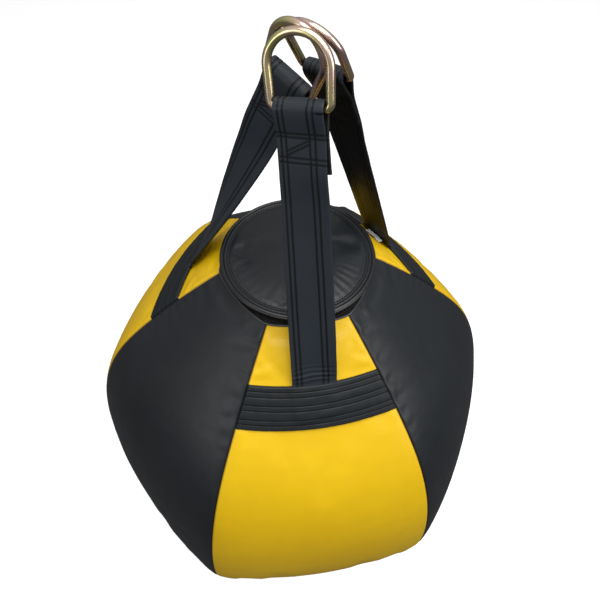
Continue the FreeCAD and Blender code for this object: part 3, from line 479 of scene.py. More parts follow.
MATERIALS = {
    # Each edge colour below is painted shade for the grooves along seams and stitched rows.
    "yellow_vinyl": vinyl("yellow vinyl", (0.79, 0.500, 0.004), (0.73, 0.445, 0.003), 0.42, edge=(0.25, 0.11, 0.004),
                          specular=0.38),
    "black_vinyl": vinyl("black vinyl", (0.0125, 0.0150, 0.0185), (0.0085, 0.0105, 0.0130), 0.40,
                         edge=grey(0.003), specular=0.38),
    "lid_vinyl": vinyl("lid vinyl", (0.0125, 0.0150, 0.0180), (0.0085, 0.0105, 0.0125), 0.36, specular=0.38),
    # back is painted shade for the strap's faces turned towards the bag.
    "strap_vinyl": vinyl("strap vinyl", (0.0260, 0.0315, 0.0395), (0.0195, 0.0240, 0.0300), 0.42,
                         edge=grey(0.002), back=grey(0.007), specular=0.25),
    "binding": vinyl("binding vinyl", (0.010, 0.011, 0.013), (0.007, 0.007, 0.008), 0.30),
    "backing_fabric": woven("backing cloth", grey(0.02), grey(0.05), 0.0012),
    "webbing": woven("strap webbing", grey(0.015), grey(0.04), 0.002),
    "zip_tape": dotted("zip tape", grey(0.0015), (0.060, 0.060, 0.064), 0.0017),
    "ring_steel": plated_steel("plated steel"),
    "zip_teeth": plain("zip coil", (0.012, 0.012, 0.013), 0.35, 500.0),
    "zip_metal": plain("painted zinc", (0.02, 0.02, 0.022), 0.38, 700.0, metallic=0.3),
    "foam": plain("closed-cell foam", (0.35, 0.35, 0.36), 0.85, 900.0, 0.8),
    "textile_fill": woven("textile filling", (0.30, 0.28, 0.26), (0.16, 0.15, 0.17), 0.004),
    "label": woven("label cloth", (0.86, 0.86, 0.84), (0.74, 0.74, 0.72), 0.0008, 0.8),
}
BAND_VINYL = vinyl("band vinyl", (0.0105, 0.0140, 0.0175), (0.0080, 0.0105, 0.0130), 0.42,
                   edge=grey(0.002), specular=0.30)
# Painted highlight: a lighter copy of the binding vinyl, so the neck piping shows a light line as if catching the
# light.
PIPING_PAINTED_HIGHLIGHT = vinyl("piping vinyl painted highlight", (0.050, 0.051, 0.054), (0.030, 0.031, 0.033), 0.34)
THREAD = thread("black thread", (0.003, 0.003, 0.0035))

slot_of_node = {item["node"]: item["material_slot"] for item in frame["record"]["subparts"]}
for node_name, node in nodes.items():
    node.data.materials.clear()
    node.data.materials.append(MATERIALS[slot_of_node[node_name]])

# ---- cloth simulation

SIM_FRAMES = 20


def inflate(points, faces, held, pressure, shrink, tension=15.0, bending=0.5):
    """Blender's cloth on a sheet of points: it swells from inside, held where held is 1."""
    obj = make_mesh("cloth_trial", points, faces)
    group = obj.vertex_groups.new(name="held")
    for weight in np.unique(np.round(held, 2)):
        if weight > 0:
            members = np.nonzero(np.round(held, 2) == weight)[0].tolist()
            group.add(members, float(weight), "REPLACE")
    cloth = obj.modifiers.new("cloth", "CLOTH")
    settings = {"quality": 6, "mass": 0.15, "tension_stiffness": tension, "compression_stiffness": tension,
                "shear_stiffness": 6.0, "bending_stiffness": bending, "use_pressure": True,
                "uniform_pressure_force": pressure, "vertex_group_mass": "held", "shrink_min": shrink}
    for key, value in settings.items():
        setattr(cloth.settings, key, value)
    cloth.settings.effector_weights.gravity = 0
    cloth.collision_settings.use_collision = False
    cloth.collision_settings.use_self_collision = False
    scene = bpy.context.scene
    for timed in (cloth.point_cache, scene):
        timed.frame_start = 1
        timed.frame_end = SIM_FRAMES
    for number in range(1, SIM_FRAMES + 1):
        scene.frame_set(number)
    result = obj.evaluated_get(bpy.context.evaluated_depsgraph_get()).to_mesh()
    after = np.zeros(len(result.vertices) * 3)
    result.vertices.foreach_get("co", after)
    scene.frame_set(1)
    mesh = obj.data
    bpy.data.objects.remove(obj)
    bpy.data.meshes.remove(mesh)
    return after.reshape(-1, 3)


# The whole shell is one simulated skin; its result is kept as a lift off the panel, per gore.
SIM_ACROSS = 20
SIM_UP = 96
SIM_CAP = 0.0018
sim_u = np.linspace(-1, 1, SIM_ACROSS + 1)
sim_s = np.linspace(0, PANEL, SIM_UP + 1)
ANGLES = {**YELLOW, **BLACK}
AROUND = sorted(ANGLES, key=ANGLES.get)


def simulate_shell():
    u, s = np.meshgrid(sim_u[:-1], sim_s)
    middle = (1 - u**2) * step(s, 0.02, 0.10) * step(PANEL - s, 0.0, 0.05)
    start = flat_gore(u, s) - gore_normal(u, s) * (0.0035 * middle)[..., None]
    skin = np.concatenate([turned(start, ANGLES[name]) for name in AROUND], axis=1)
    rows, columns = skin.shape[:2]
    seam = np.where(np.abs(u) > 0.999, 1.0, 0.0)
    ends = np.maximum(step(-s, -0.03, -0.005), step(s, PANEL - 0.02, PANEL - 0.004))
    held = np.concatenate([np.maximum(seam, ends)] * len(AROUND), axis=1)
    for index, name in enumerate(AROUND):
        if name in YELLOW:
            span = slice(index * SIM_ACROSS, (index + 1) * SIM_ACROSS)
            band = (s > along_at(BAND_LOW) - 0.003) & (s < along_at(FOOT_HEIGHT))
            held[:, span] = np.where(band, 1.0, held[:, span])
    faces = grid_faces(rows, columns, wrap_columns=True)
    after = inflate(skin.reshape(-1, 3), faces, held.ravel(), pressure=4.0, shrink=-0.012)
    after = after.reshape(rows, columns, 3)
    lifts = {}
    for index, name in enumerate(AROUND):
        take = [(index * SIM_ACROSS + k) % columns for k in range(SIM_ACROSS + 1)]
        local = turned(after[:, take], -ANGLES[name])
        full_u, full_s = np.meshgrid(sim_u, sim_s)
        lift = np.sum((local - flat_gore(full_u, full_s)) * gore_normal(full_u, full_s), axis=-1)
        lifts[name] = SIM_CAP * np.tanh(lift / SIM_CAP)
    return lifts


shell_lift = simulate_shell()


def lift_at(name, u, s):
    """The simulated lift on a grid: u are the columns and s the rows."""
    by_row = spline(sim_s, shell_lift[name], s)
    return spline(sim_u, by_row.T, u).T


# ---- the six panels

near_seam = np.array([1.0, 0.9975, 0.9945, 0.991, 0.986, 0.979, 0.969, 0.955, 0.935, 0.905, 0.87])
half_u = np.concatenate([near_seam, np.linspace(0.83, 0, 14)])
PANEL_U = np.concatenate([-half_u, half_u[-2::-1]])
PANEL_S = np.linspace(0, PANEL, 240)
SEAM_WIDTH = 0.0011                          # of the groove along a seam
SEAM_ALLOWANCE = 0.006


def panel_detail(name, u, s):
    """Lift of a panel's surface off the CAD form, for grids u and s."""
    gap = seam_gap(u, s)
    seed = AROUND.index(name)
    side = np.where(u < 0, 0.0, 5.0)
    lift = -0.0014 * bump(gap, 0, SEAM_WIDTH) + 0.0002 * bump(gap, 0.0042, 0.0030)
    pucker = ripple(s, side, seed, 0.012) * bump(gap, 0, 0.011)
    lift += 0.00022 * pucker * step(gap, 0.0008, 0.003)
    lift += 0.0007 * ripple(u * seam_radius(s) * 0.52, s, 20 + seed, 0.16) * step(gap, 0.0, 0.05)
    lift += 0.00012 * ripple(u * seam_radius(s) * 0.15, s, 40 + seed, 0.022) * step(gap, 0.0, 0.03)
    return lift, gap


def make_panel(name, slot):
    u, s = np.meshgrid(PANEL_U, PANEL_S)
    lift, gap = panel_detail(name, u, s)
    lift = lift + lift_at(name, PANEL_U, PANEL_S)
    normal = gore_normal(u, s)
    skin = flat_gore(u, s) + normal * lift[..., None]
    # Seam allowance: each side turns in and lies inside the seam.
    inward = skin[:, [0, -1]] - normal[:, [0, -1]] * SEAM_ALLOWANCE
    points = np.concatenate([inward[:, :1], skin, inward[:, 1:]], axis=1)
    metres = np.stack([gap, s], -1)
    edge = metres[:, [0, -1]] * [0, 1]
    uv = np.concatenate([edge[:, :1], metres, edge[:, 1:]], axis=1)
    node = ("yellow_panel_" if name in YELLOW else "black_panel_") + name
    obj = make_mesh("gore_" + name, turned(points, ANGLES[name]), grid_faces(*points.shape[:2]), uv)
    finish_piece(obj, slot, "bag", node)


for name in ANGLES:
    make_panel(name, "yellow_vinyl" if name in YELLOW else "black_vinyl")


def six_sided(radius, per_side=30, smoothing=0):
    """Closed six-arc line with its corners on the seams, rounded by rounds of smoothing."""
    u = np.linspace(-1, 1, per_side, endpoint=False)
    angle = u * HALF_ARC
    side = np.stack([BULGE * np.sin(angle), -MIDDLE + BULGE * (1 - np.cos(angle)), 0 * u], -1)
    line = np.concatenate([turned(side, 60 * k) for k in range(6)])
    for _ in range(smoothing):
        line = (np.roll(line, 1, 0) + 2 * line + np.roll(line, -1, 0)) / 4
    return line * radius


BASE_RADIUS = 0.1035
BASE_ROW = 0.965                             # its stitched row, as a share of the radius


def make_base():
    """Six-sided bottom panel, slightly full, with a sewn edge."""
    rings = np.concatenate([np.linspace(0.02, 0.90, 16), [0.93, 0.95, 0.965, 0.98, 0.99, 1.0]])
    outline = six_sided(BASE_RADIUS)
    depth = 0.0020 * (1 - rings**4) - 0.0012 * bump(rings, BASE_ROW, 0.012)
    points = outline[None] * rings[:, None, None]
    points[..., 2] = 0.0016 - depth[:, None]
    metres = np.stack([0.02 + 0 * points[..., 0], points[..., 1]], -1)
    obj = make_mesh("bottom_panel", points, disc_faces(*points.shape[:2]), metres)
    finish_piece(obj, "black_vinyl", "bag", "base_panel")
    row = six_sided(BASE_RADIUS * BASE_ROW)
    row[:, 2] = 0.0004
    row = np.concatenate([row, row[:1]])
    down = everywhere((0, 0, -1), row)
    finish_piece(stitch_mesh("bottom_stitches", [(row, down)]), "black_vinyl", "bag", None, THREAD)


make_base()

# ---- anchor bands

BAND_S0 = along_at(BAND_LOW)
BAND_S1 = along_at(BAND_HIGH)
BAND_ROWS = (0.13, 0.25, 0.44, 0.56, 0.76, 0.87)      # stitched rows, from the top edge down
STRAP_HALF = 0.025


def band_wander(name, side):
    """The rows of a band don't run quite parallel to its edge."""
    return 0.0011 * ripple(side, side * 0, 60 + AROUND.index(name), 0.13)


def band_row(place, wander):
    return BAND_S1 - place * (BAND_S1 - BAND_S0) + wander


def band_lift(name, u, s):
    seed = AROUND.index(name)
    width = BAND_S1 - BAND_S0
    down = (BAND_S1 - s) / width
    gap = seam_gap(u, s)
    side = side_metres(u, s)
    edge = np.minimum(s - BAND_S0, BAND_S1 - s)
    lift = 0.0006 + 0.0021 * np.sqrt(np.clip(step(edge, -0.0002, 0.0022), 0, 1))
    wander = band_wander(name, side)
    for place in BAND_ROWS:
        lift = lift - 0.0004 * bump((down - place) * width + wander, 0, 0.00062)
    for low, high in ((0.25, 0.44), (0.56, 0.76)):
        lift = lift + 0.0003 * bump(down, (low + high) / 2, (high - low) / 3)
    over = 1.0
    for way in (side, -side):
        over = over * step(way, -STRAP_HALF - 0.006, -STRAP_HALF + 0.004)
    lift = lift + 0.0008 * over * step(s, BAND_S0 + 0.004, BAND_S0 + 0.016)
    lift = lift + 0.0005 * ripple(side * 0.4, s, 70 + seed, 0.016) * bump(side, 0.0, 0.05)
    lift = lift + 0.0002 * ripple(side, s * 0.2, 80 + seed, 0.010)
    return lift * step(gap, -0.0006, 0.0018) - 0.0006 * (1 - step(gap, 0.0, 0.0016))


def make_band(name):
    u = np.concatenate([[-1], np.linspace(-0.997, -0.95, 8), np.linspace(-0.94, 0.94, 110),
                        np.linspace(0.95, 0.997, 8), [1]])
    s = np.linspace(BAND_S0, BAND_S1, 132)
    uu, ss = np.meshgrid(u, s)
    normal = gore_normal(uu, ss)
    base = flat_gore(uu, ss)
    lift = band_lift(name, uu, ss)
    gap = seam_gap(uu, ss)
    skin = base + normal * (lift - 0.0012 * bump(gap, 0, SEAM_WIDTH))[..., None]
    under = base - normal * 0.0004
    points = np.concatenate([under[:1], skin, under[-1:]], axis=0)
    wander = band_wander(name, side_metres(uu, ss))
    near_row = np.full(ss.shape, 1.0)
    for place in BAND_ROWS:
        near_row = np.minimum(near_row, np.abs(band_row(place, wander) - ss))
    metres = np.stack([near_row, ss], -1)
    uv = np.concatenate([metres[:1], metres, metres[-1:]], axis=0)
    obj = make_mesh("band_" + name, turned(points, ANGLES[name]), grid_faces(*points.shape[:2]), uv)
    finish_piece(obj, "strap_vinyl", "bag", "anchor_band_" + name, BAND_VINYL)
    rows = []
    line_u = np.linspace(-0.985, 0.985, 160)
    wander = band_wander(name, side_metres(line_u, (BAND_S0 + BAND_S1) / 2))
    for place in BAND_ROWS:
        line_s = band_row(place, wander)
        n = gore_normal(line_u, line_s)
        line = flat_gore(line_u, line_s) + n * (band_lift(name, line_u, line_s) - 0.0001)[:, None]
        rows.append((turned(line, ANGLES[name]), turned(n, ANGLES[name])))
    finish_piece(stitch_mesh("band_stitches_" + name, rows), "strap_vinyl", "bag", None, THREAD)


for name in YELLOW:
    make_band(name)

# ---- straps

STRAP_THICK = 0.0017                        # half the strap's thickness
TAIL_THICK = 0.0009                         # the same under its band
LOOP_TAIL = 0.062
LOOP_TAPER = 0.030
LOOP_RADIUS = 0.0070                        # to the middle of the strap's thickness
TAIL_UNDER = 0.034
FOLD_SHIFT = 0.0018                         # each layer of the folded end lies this far off the middle
STITCH_ROWS = (0.11, 0.21, 0.69, 0.80)      # across the strap, as shares of its width
TAIL_SLIP = {"front": 0.0030, "right": -0.0015, "left": 0.0012}
BOX_ROWS = (0.0080, 0.0128, 0.0326, 0.0369)      # from each end of the folded part
DIAGONAL = (-0.60, 0.40)                    # across the strap, from -1 to 1
DIAGONAL_START = 0.0148
DIAGONAL_RISE = 0.0130                      # along the strap, for a half width across it
DIAGONAL_COSINE = 0.887                     # of the slant that this gives
GROOVE = 0.0004                             # depth and width of the groove along a stitched row
GROOVE_WIDTH = 0.00065
SHIFT_RUN = 0.035                           # over which the strap moves off the middle
STRAIGHT_STEPS, SHIFT_STEPS, FOLDED_STEPS, TAPER_STEPS, BAR_STEPS = 90, 14, 13, 12, 17


class Strap:
    """A strap's line: under its band, over the fold at its foot, up to the ring and back."""

    def __init__(self, side):
        self.side = side
        angle = YELLOW[side]
        s_foot = along_at(FOOT_HEIGHT)
        zero = np.zeros(1)
        n = gore_normal(zero, zero + s_foot)[0]
        self.foot = turned(flat_gore(zero, zero + s_foot)[0] + n * FOOT_LIFT, angle)
        top, bar, _ = TOPS[side]
        self.top = np.array(top)
        self.up = unit(self.top - self.foot)
        self.length = float(np.linalg.norm(self.top - self.foot))
        across = turned([1.0, 0.0, 0.0], angle)
        self.across0 = unit(across - (across @ self.up) * self.up)
        self.face0 = np.cross(self.across0, self.up)
        bar = np.array(bar) - (np.array(bar) @ self.up) * self.up
        twist = math.atan2(-(bar @ self.face0), bar @ self.across0)
        if abs(twist) > math.pi / 2:
            twist -= math.copysign(math.pi, twist)
        self.twist = twist
        # Centre line: distance along it, offset towards the outer face, slip of the folded end.
        straight = self.length - LOOP_TAIL
        folded = LOOP_TAIL - LOOP_TAPER
        bulge = LOOP_RADIUS - FOLD_SHIFT
        line = [(q, 0.0, 0.0) for q in np.linspace(0.008, straight - SHIFT_RUN, STRAIGHT_STEPS)]
        line += [(straight - SHIFT_RUN + SHIFT_RUN * t, FOLD_SHIFT * ease(t), 0.0)
                 for t in np.linspace(0.05, 1, SHIFT_STEPS)]
        line += [(straight + folded * t, FOLD_SHIFT, 0.0) for t in np.linspace(0.08, 1, FOLDED_STEPS)]
        line += [(self.length - LOOP_TAPER * (1 - t), FOLD_SHIFT + bulge * ease(t), 0.0)
                 for t in np.linspace(0.08, 0.96, TAPER_STEPS)]
        line += [(self.length + LOOP_RADIUS * math.sin(a), LOOP_RADIUS * math.cos(a), 0.05)
                 for a in np.linspace(0, math.pi, BAR_STEPS)]
        line += [(self.length - LOOP_TAPER * t, -FOLD_SHIFT - bulge * ease(1 - t), 0.1 + 0.4 * t)
                 for t in np.linspace(0.04, 0.92, TAPER_STEPS)]
        line += [(self.length - LOOP_TAPER - folded * t, -FOLD_SHIFT, 0.5 + 0.5 * t)
                 for t in np.linspace(0, 1, FOLDED_STEPS)]
        line = np.array(line)
        places = self.foot + line[:, :1] * self.up
        turn = self.twist * np.clip(line[:, 0] / straight, 0, 1)
        across = np.cos(turn)[:, None] * self.across0 - np.sin(turn)[:, None] * self.face0
        face = np.cross(across, self.up)
        places = places + line[:, 1:2] * face + (line[:, 2:] * TAIL_SLIP[side]) * across
        # The end under the band follows the panel.
        under_q = np.linspace(-TAIL_UNDER, -0.006, 12)
        under_n = gore_normal(0 * under_q, s_foot + under_q)
        under = turned(flat_gore(0 * under_q, s_foot + under_q) + under_n * 0.0011, angle)
        fold = np.linspace(0.1, 0.9, 9)[:, None]
        start, end = under[-1], places[0]
        pull = 0.006
        leave = unit(under[-1] - under[-2])
        fold_line = ((1 - fold)**3 * start + 3 * (1 - fold)**2 * fold * (start + leave * pull)
                     + 3 * (1 - fold) * fold**2 * (end - self.up * pull) + fold**3 * end)
        self.line = np.concatenate([under, fold_line, places])
        self.acrosses = np.concatenate([np.tile(self.across0, (len(under) + len(fold_line), 1)), across])
        self.run = run_along(self.line)
        near_foot = slice(len(under) + len(fold_line) + 19)
        self.run_foot = float(np.interp(0.0, (self.line[near_foot] - self.foot) @ self.up, self.run[near_foot]))
        first_folded = len(under) + len(fold_line) + STRAIGHT_STEPS + SHIFT_STEPS
        self.run_fold = float(self.run[first_folded])
        self.run_bar = float(self.run[first_folded + FOLDED_STEPS + TAPER_STEPS + BAR_STEPS // 2])
        self.total = float(self.run[-1])

    def frame_at(self, run):
        """Points, across and outward directions at distances along the strap's own line."""
        point = points_at(run, self.run, self.line)
        across = points_at(run, self.run, self.acrosses)
        forward = unit(points_at(run + 0.0008, self.run, self.line) - points_at(run - 0.0008, self.run, self.line))
        across = unit(across - np.sum(across * forward, -1, keepdims=True) * forward)
        return point, across, np.cross(across, forward)

    def half_width(self, run):
        gather = 0.0006 * step(run, self.run_foot + 0.03, self.run_foot + 0.15)
        return STRAP_HALF - gather + 0.0002 * ripple(run, 0 * run, 90, 0.05)

    def thickness(self, run, x, outer):
        """Half thickness at x, from -1 to 1 across."""
        seed = 100 + list(YELLOW).index(self.side)
        metres = x * STRAP_HALF
        above_band = step(run, self.run_foot - 0.012, self.run_foot - 0.002)
        thick = TAIL_THICK + (STRAP_THICK - TAIL_THICK + 0.00045 * (1 - x**4)) * above_band
        for place in STITCH_ROWS:
            thick = thick - GROOVE * bump(metres, (2 * place - 1) * STRAP_HALF, GROOVE_WIDTH) * above_band
        for row in self.box_rows():
            thick = thick - GROOVE * bump(run, row, GROOVE_WIDTH)
        thick = thick + 0.00025 * ripple(run, metres, seed, 0.030)
        above = np.clip(run - self.run_foot, 0, None)
        near_foot = bump(above, 0, 0.016) * step(run, self.run_foot - 0.006, self.run_foot + 0.002)
        creases = np.sin(2 * math.pi * (above / 0.0062 + 0.5 * x**2 + 0.35 * ripple(run, metres, seed + 5, 0.03)))
        thick = thick + 0.0008 * near_foot * creases * (1 - 0.75 * np.abs(x)**3) * outer
        return thick

    def box_rows(self):
        """Rows across the folded end, on its outer face and then on its free end."""
        return [self.run_fold + row for row in BOX_ROWS] + [self.total - row for row in BOX_ROWS]

    def diagonals(self):
        """Where each diagonal row of the two boxes starts, at DIAGONAL[0] across the strap."""
        starts = (self.run_fold, self.total - BOX_ROWS[0] - BOX_ROWS[-1])
        return [start + DIAGONAL_START + shift for start in starts for shift in (0.0, 0.0040)]

    def row_distance(self, run, x):
        """Distance from the nearest stitched row, in metres."""
        metres = x * STRAP_HALF
        nearest = np.full(np.shape(run), 1.0)
        for place in STITCH_ROWS:
            nearest = np.minimum(nearest, np.abs(metres - (2 * place - 1) * STRAP_HALF))
        for row in self.box_rows():
            nearest = np.minimum(nearest, np.abs(run - row))
        low, high = DIAGONAL
        for start in self.diagonals():
            off = np.abs(run - start - (x - low) * DIAGONAL_RISE) * DIAGONAL_COSINE
            nearest = np.where((x > low) & (x < high), np.minimum(nearest, off), nearest)
        return nearest

    def surface(self, run, x, outer=1.0):
        run, x = np.broadcast_arrays(np.asarray(run, float), np.asarray(x, float))
        point, across, face = self.frame_at(run.ravel())
        shape = run.shape + (3,)
        point, across, face = point.reshape(shape), across.reshape(shape), face.reshape(shape)
        # The strap's cross-section is a rounded bar: its faces fall away over the last millimetre.
        rim = np.sqrt(np.clip(1 - np.clip((np.abs(x) - 0.955) / 0.045, 0, 1)**2, 0, 1))
        side = x * self.half_width(run)
        height = outer * (0.0002 + (self.thickness(run, x, outer) - 0.0002) * rim)
        return point + side[..., None] * across + height[..., None] * face, face * outer


def strap_rows(strap):
    """Stitched rows: two pairs along both faces, and the box with its cross at the folded end."""
    rows = []
    long_run = np.linspace(strap.run_foot - 0.004, strap.run_bar - 0.004, 320)
    inner_run = np.linspace(strap.run_foot - 0.004, strap.run_fold - 0.001, 260)
    tail_run = np.linspace(strap.run_bar + 0.014, strap.total - 0.001, 60)
    for place in STITCH_ROWS:
        x = 2 * place - 1
        rows.append(strap.surface(long_run, x, 1.0))
        rows.append(strap.surface(inner_run, x, -1.0))
        rows.append(strap.surface(tail_run, x, 1.0))
    across = np.linspace(-0.93, 0.93, 60)
    for run in strap.box_rows():
        rows.append(strap.surface(run, across, 1.0))
    diagonal = np.linspace(*DIAGONAL, 50)
    for start in strap.diagonals():
        rows.append(strap.surface(start + (diagonal - DIAGONAL[0]) * DIAGONAL_RISE, diagonal, 1.0))
    # Short rows that close the strap's sides just above its band.
    for step_up in range(6):
        run = strap.run_foot + 0.003 + 0.0034 * step_up
        for low, high in ((-0.90, -0.52), (0.36, 0.92)):
            rows.append(strap.surface(run, np.linspace(low, high, 16), 1.0))
    return [(line - 0.0001 * normal, normal) for line, normal in rows]


def make_strap(side):
    strap = Strap(side)
    x_half = np.concatenate([np.linspace(-1, -0.955, 6), np.linspace(-0.95, 0.95, 84), np.linspace(0.955, 1, 6)])
    run = np.concatenate([np.arange(0, strap.run_foot + 0.03, 0.0008),
                          np.arange(strap.run_foot + 0.03, strap.run_fold, 0.0028),
                          np.arange(strap.run_fold, strap.total, 0.0011), [strap.total]])
    runs, xs = np.meshgrid(run, x_half, indexing="ij")
    outer, _ = strap.surface(runs, xs, 1.0)
    inner, _ = strap.surface(runs, xs[:, ::-1], -1.0)
    points = np.concatenate([outer, inner], axis=1)
    faces = tube_faces(*points.shape[:2])
    # Painted shade: back is 1 on the tail past the bar, whose outer face turns to the bag, and the inner face gets 1
    # throughout; both take the darker back colour.
    back = step(runs, strap.run_bar + 0.004, strap.run_bar + 0.014)
    outer_rows = np.stack([strap.row_distance(runs, xs), back], -1)
    inner_rows = np.stack([strap.row_distance(runs, xs[:, ::-1]), np.ones(runs.shape)], -1)
    cover = make_mesh("strap_cover_" + side, points, faces, np.concatenate([outer_rows, inner_rows], axis=1))
    body = side + "_strap"
    covered = ["strap_" + side, "strap_loop_" + side, "strap_tail_" + side]
    stitches = stitch_mesh("strap_stitches_" + side, strap_rows(strap))
    for obj, material in ((cover, None), (stitches, THREAD)):
        finish_piece(obj, "strap_vinyl", None, None, material)
        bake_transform(obj)
    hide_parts(*covered)
    # Webbing inside the sleeve, from above the fold to below the folded end.
    core_run = np.linspace(strap.run_foot + 0.009, strap.run_fold - 0.004, 70)
    point, across, face = strap.frame_at(core_run)
    core = sweep("strap_core_" + side, point, across, face, rounded_bar(0.0215, 0.00055))
    finish_piece(core, "webbing", body, "strap_webbing_" + side)
    return strap


def rounded_bar(half, thick, count=6):
    """Section of a flat bar with round sides: half width and half thickness."""
    angle = np.linspace(-math.pi / 2, math.pi / 2, count)
    right = np.stack([half - thick + thick * np.cos(angle), thick * np.sin(angle)], -1)
    return np.concatenate([right, -right])


straps = {side: make_strap(side) for side in YELLOW}

# ---- D-rings

ROD = 0.00425                               # radius; all sizes below are to the rod's middle
ROD_SIDES = 28
RING_ARCH = 0.030
RING_ARCH_HEIGHT = 0.036
RING_CORNER = 0.0065
RING_BAR_HALF = 0.0225


def arc(centre, radius, start, end, count):
    """Points of an arc, without its first one."""
    angles = np.linspace(start, end, count)[1:]
    return [(centre[0] + radius * math.cos(a), centre[1] + radius * math.sin(a)) for a in angles]


def ring_line():
    """Closed line of the D-ring in its own plane: x along the bar, y towards the arch."""
    half, corner = RING_BAR_HALF, RING_CORNER
    reach = math.hypot(half, RING_ARCH_HEIGHT - corner)
    lean = math.acos((RING_ARCH - corner) / reach) - math.atan2(RING_ARCH_HEIGHT - corner, half)
    points = [(x, 0.0) for x in np.linspace(0, half, 8)] + arc((half, corner), corner, -math.pi / 2, lean, 10)
    low = points[-1]
    high = (RING_ARCH * math.cos(lean), RING_ARCH_HEIGHT + RING_ARCH * math.sin(lean))
    points += [(low[0] + (high[0] - low[0]) * t, low[1] + (high[1] - low[1]) * t) for t in np.linspace(0, 1, 7)[1:]]
    points += arc((0.0, RING_ARCH_HEIGHT), RING_ARCH, lean, math.pi / 2, 20)
    points = np.array(points)
    return np.concatenate([points, points[-2:0:-1] * [-1, 1]])


def make_ring(side):
    strap = straps[side]
    centre, bar, arch = (np.array(v) for v in TOPS[side])
    x = unit(bar - (bar @ strap.up) * strap.up)
    y = unit(arch - (arch @ x) * x)
    n = np.cross(x, y)
    flat = ring_line()
    path = centre + flat[:, :1] * x + flat[:, 1:] * y
    normal = everywhere(n, path)
    section = circle_section(ROD, ROD_SIDES)
    obj = sweep("ring_" + side, path, np.cross(directions(path), normal), normal, section, closed=True)
    finish_piece(obj, "ring_steel", side + "_ring", "d_ring_" + side)
    # The rod's ends are welded at the middle of the bar.
    bead = [(-0.0045, ROD * 0.98), (-0.003, ROD + 0.0003), (-0.0012, ROD + 0.00045), (0.0, ROD + 0.0003),
            (0.0012, ROD + 0.00045), (0.003, ROD + 0.0003), (0.0045, ROD * 0.98)]
    points = []
    for along, radius in bead:
        for a in full_circle(ROD_SIDES):
            points.append(centre + along * x + radius * (math.cos(a) * y + math.sin(a) * n))
    weld = make_mesh("ring_weld_" + side, points, grid_faces(len(bead), ROD_SIDES, wrap_columns=True))
    finish_piece(weld, "ring_steel", side + "_ring")


for side in YELLOW:
    make_ring(side)

# ---- neck and zip

ZIP_RADIUS = 0.0866
ZIP_HALF = 165                              # degrees from the front to each end of the zip
PIPING_RADIUS = 0.0932
PIPING_LEVEL = 0.4999
TOOTH_PITCH = 0.0021
TOOTH_SIDES = 8
TOOTH_SHAPE = ((-1.0, 0.45), (-0.6, 0.95), (0.6, 0.95), (1.0, 0.45))   # height, thickness


def make_neck():
    """Corded piping round the neck, and the flat zip tape inside it."""
    line = six_sided(PIPING_RADIUS, 60, smoothing=15) + [0, 0, PIPING_LEVEL]
    up = everywhere((0, 0, 1), line)
    piping = sweep("neck_piping", line, np.cross(directions(line), up), up, circle_section(0.00125, 12), closed=True)
    # The piping wears the lighter vinyl with its painted highlight.
    finish_piece(piping, "binding", "bag", "neck_binding", PIPING_PAINTED_HIGHLIGHT)
    # Tape from the piping in to the zip: six-sided outside, round inside, gently cupped.
    rings = np.linspace(0, 1, 12)
    angle = np.arctan2(line[:, 0], -line[:, 1])
    inner = polar(ZIP_RADIUS, angle, 0.0)
    outer = line * [1, 1, 0] * 0.995
    points = outer[None] * (1 - rings)[:, None, None] + inner[None] * rings[:, None, None]
    cup = 0.5002 + 0.0016 * rings[:, None]**2 + 0.0003 * ripple(angle[None] * 0.09, rings[:, None] * 0.01, 7, 0.02)
    points[..., 2] = cup
    collar = make_mesh("zip_collar", points, grid_faces(len(rings), len(line), wrap_columns=True))
    finish_piece(collar, "zip_tape", "bag")


def tape_wall(name, low, high, body, node):
    """Upright part of a zip tape, as a thin closed band of cloth."""
    line = polar(ZIP_RADIUS - 0.0005, np.radians(np.linspace(-ZIP_HALF, ZIP_HALF, 260)), (low + high) / 2)
    section = rounded_bar((high - low) / 2, 0.00045)[:, ::-1]
    obj = sweep(name, line, unit(line * [1, 1, 0]), everywhere((0, 0, 1), line), section)
    finish_piece(obj, "zip_tape", body, node)


def make_teeth(name, height, shift, body, node):
    """One row of coil teeth: small rounded links side by side round the neck."""
    count = int(math.radians(2 * ZIP_HALF) * ZIP_RADIUS / TOOTH_PITCH)
    angles = np.radians(-ZIP_HALF) + (np.arange(count) + shift) * TOOTH_PITCH / ZIP_RADIUS
    shape = []
    for z, fat in TOOTH_SHAPE:
        for a in full_circle(TOOTH_SIDES):
            shape.append((0.00062 * fat * math.cos(a), 0.00078 * fat * math.sin(a), 0.00068 * z))
    placements = []
    for a in angles:
        out = np.array([math.sin(a), -math.cos(a), 0.0])
        along = np.array([math.cos(a), math.sin(a), 0.0])
        placements.append((out * (ZIP_RADIUS - 0.0004) + [0, 0, height], along, out, np.array([0.0, 0.0, 1.0])))
    obj = scatter(name, np.array(shape), tube_faces(len(TOOTH_SHAPE), TOOTH_SIDES), placements)
    finish_piece(obj, "zip_teeth", body, node)


make_neck()
tape_wall("tape_low", 0.5012, 0.5084, "bag", "zip_tape_lower")
tape_wall("tape_high", 0.5115, 0.5155, "lid", "zip_tape_upper")
make_teeth("teeth_low", 0.5090, 0.25, "bag", "zip_teeth_lower")
make_teeth("teeth_high", 0.5109, 0.75, "lid", "zip_teeth_upper")

# ---- lid

LID_EDGE = 0.0868
LID_LEVEL = 0.5182
LID_UNDER = 0.5161
LID_DOME = 0.0058
LID_SEW = 0.0790                            # inside the double row
LID_ROWS = (0.0800, 0.0824)
LID_SPOKES = 240


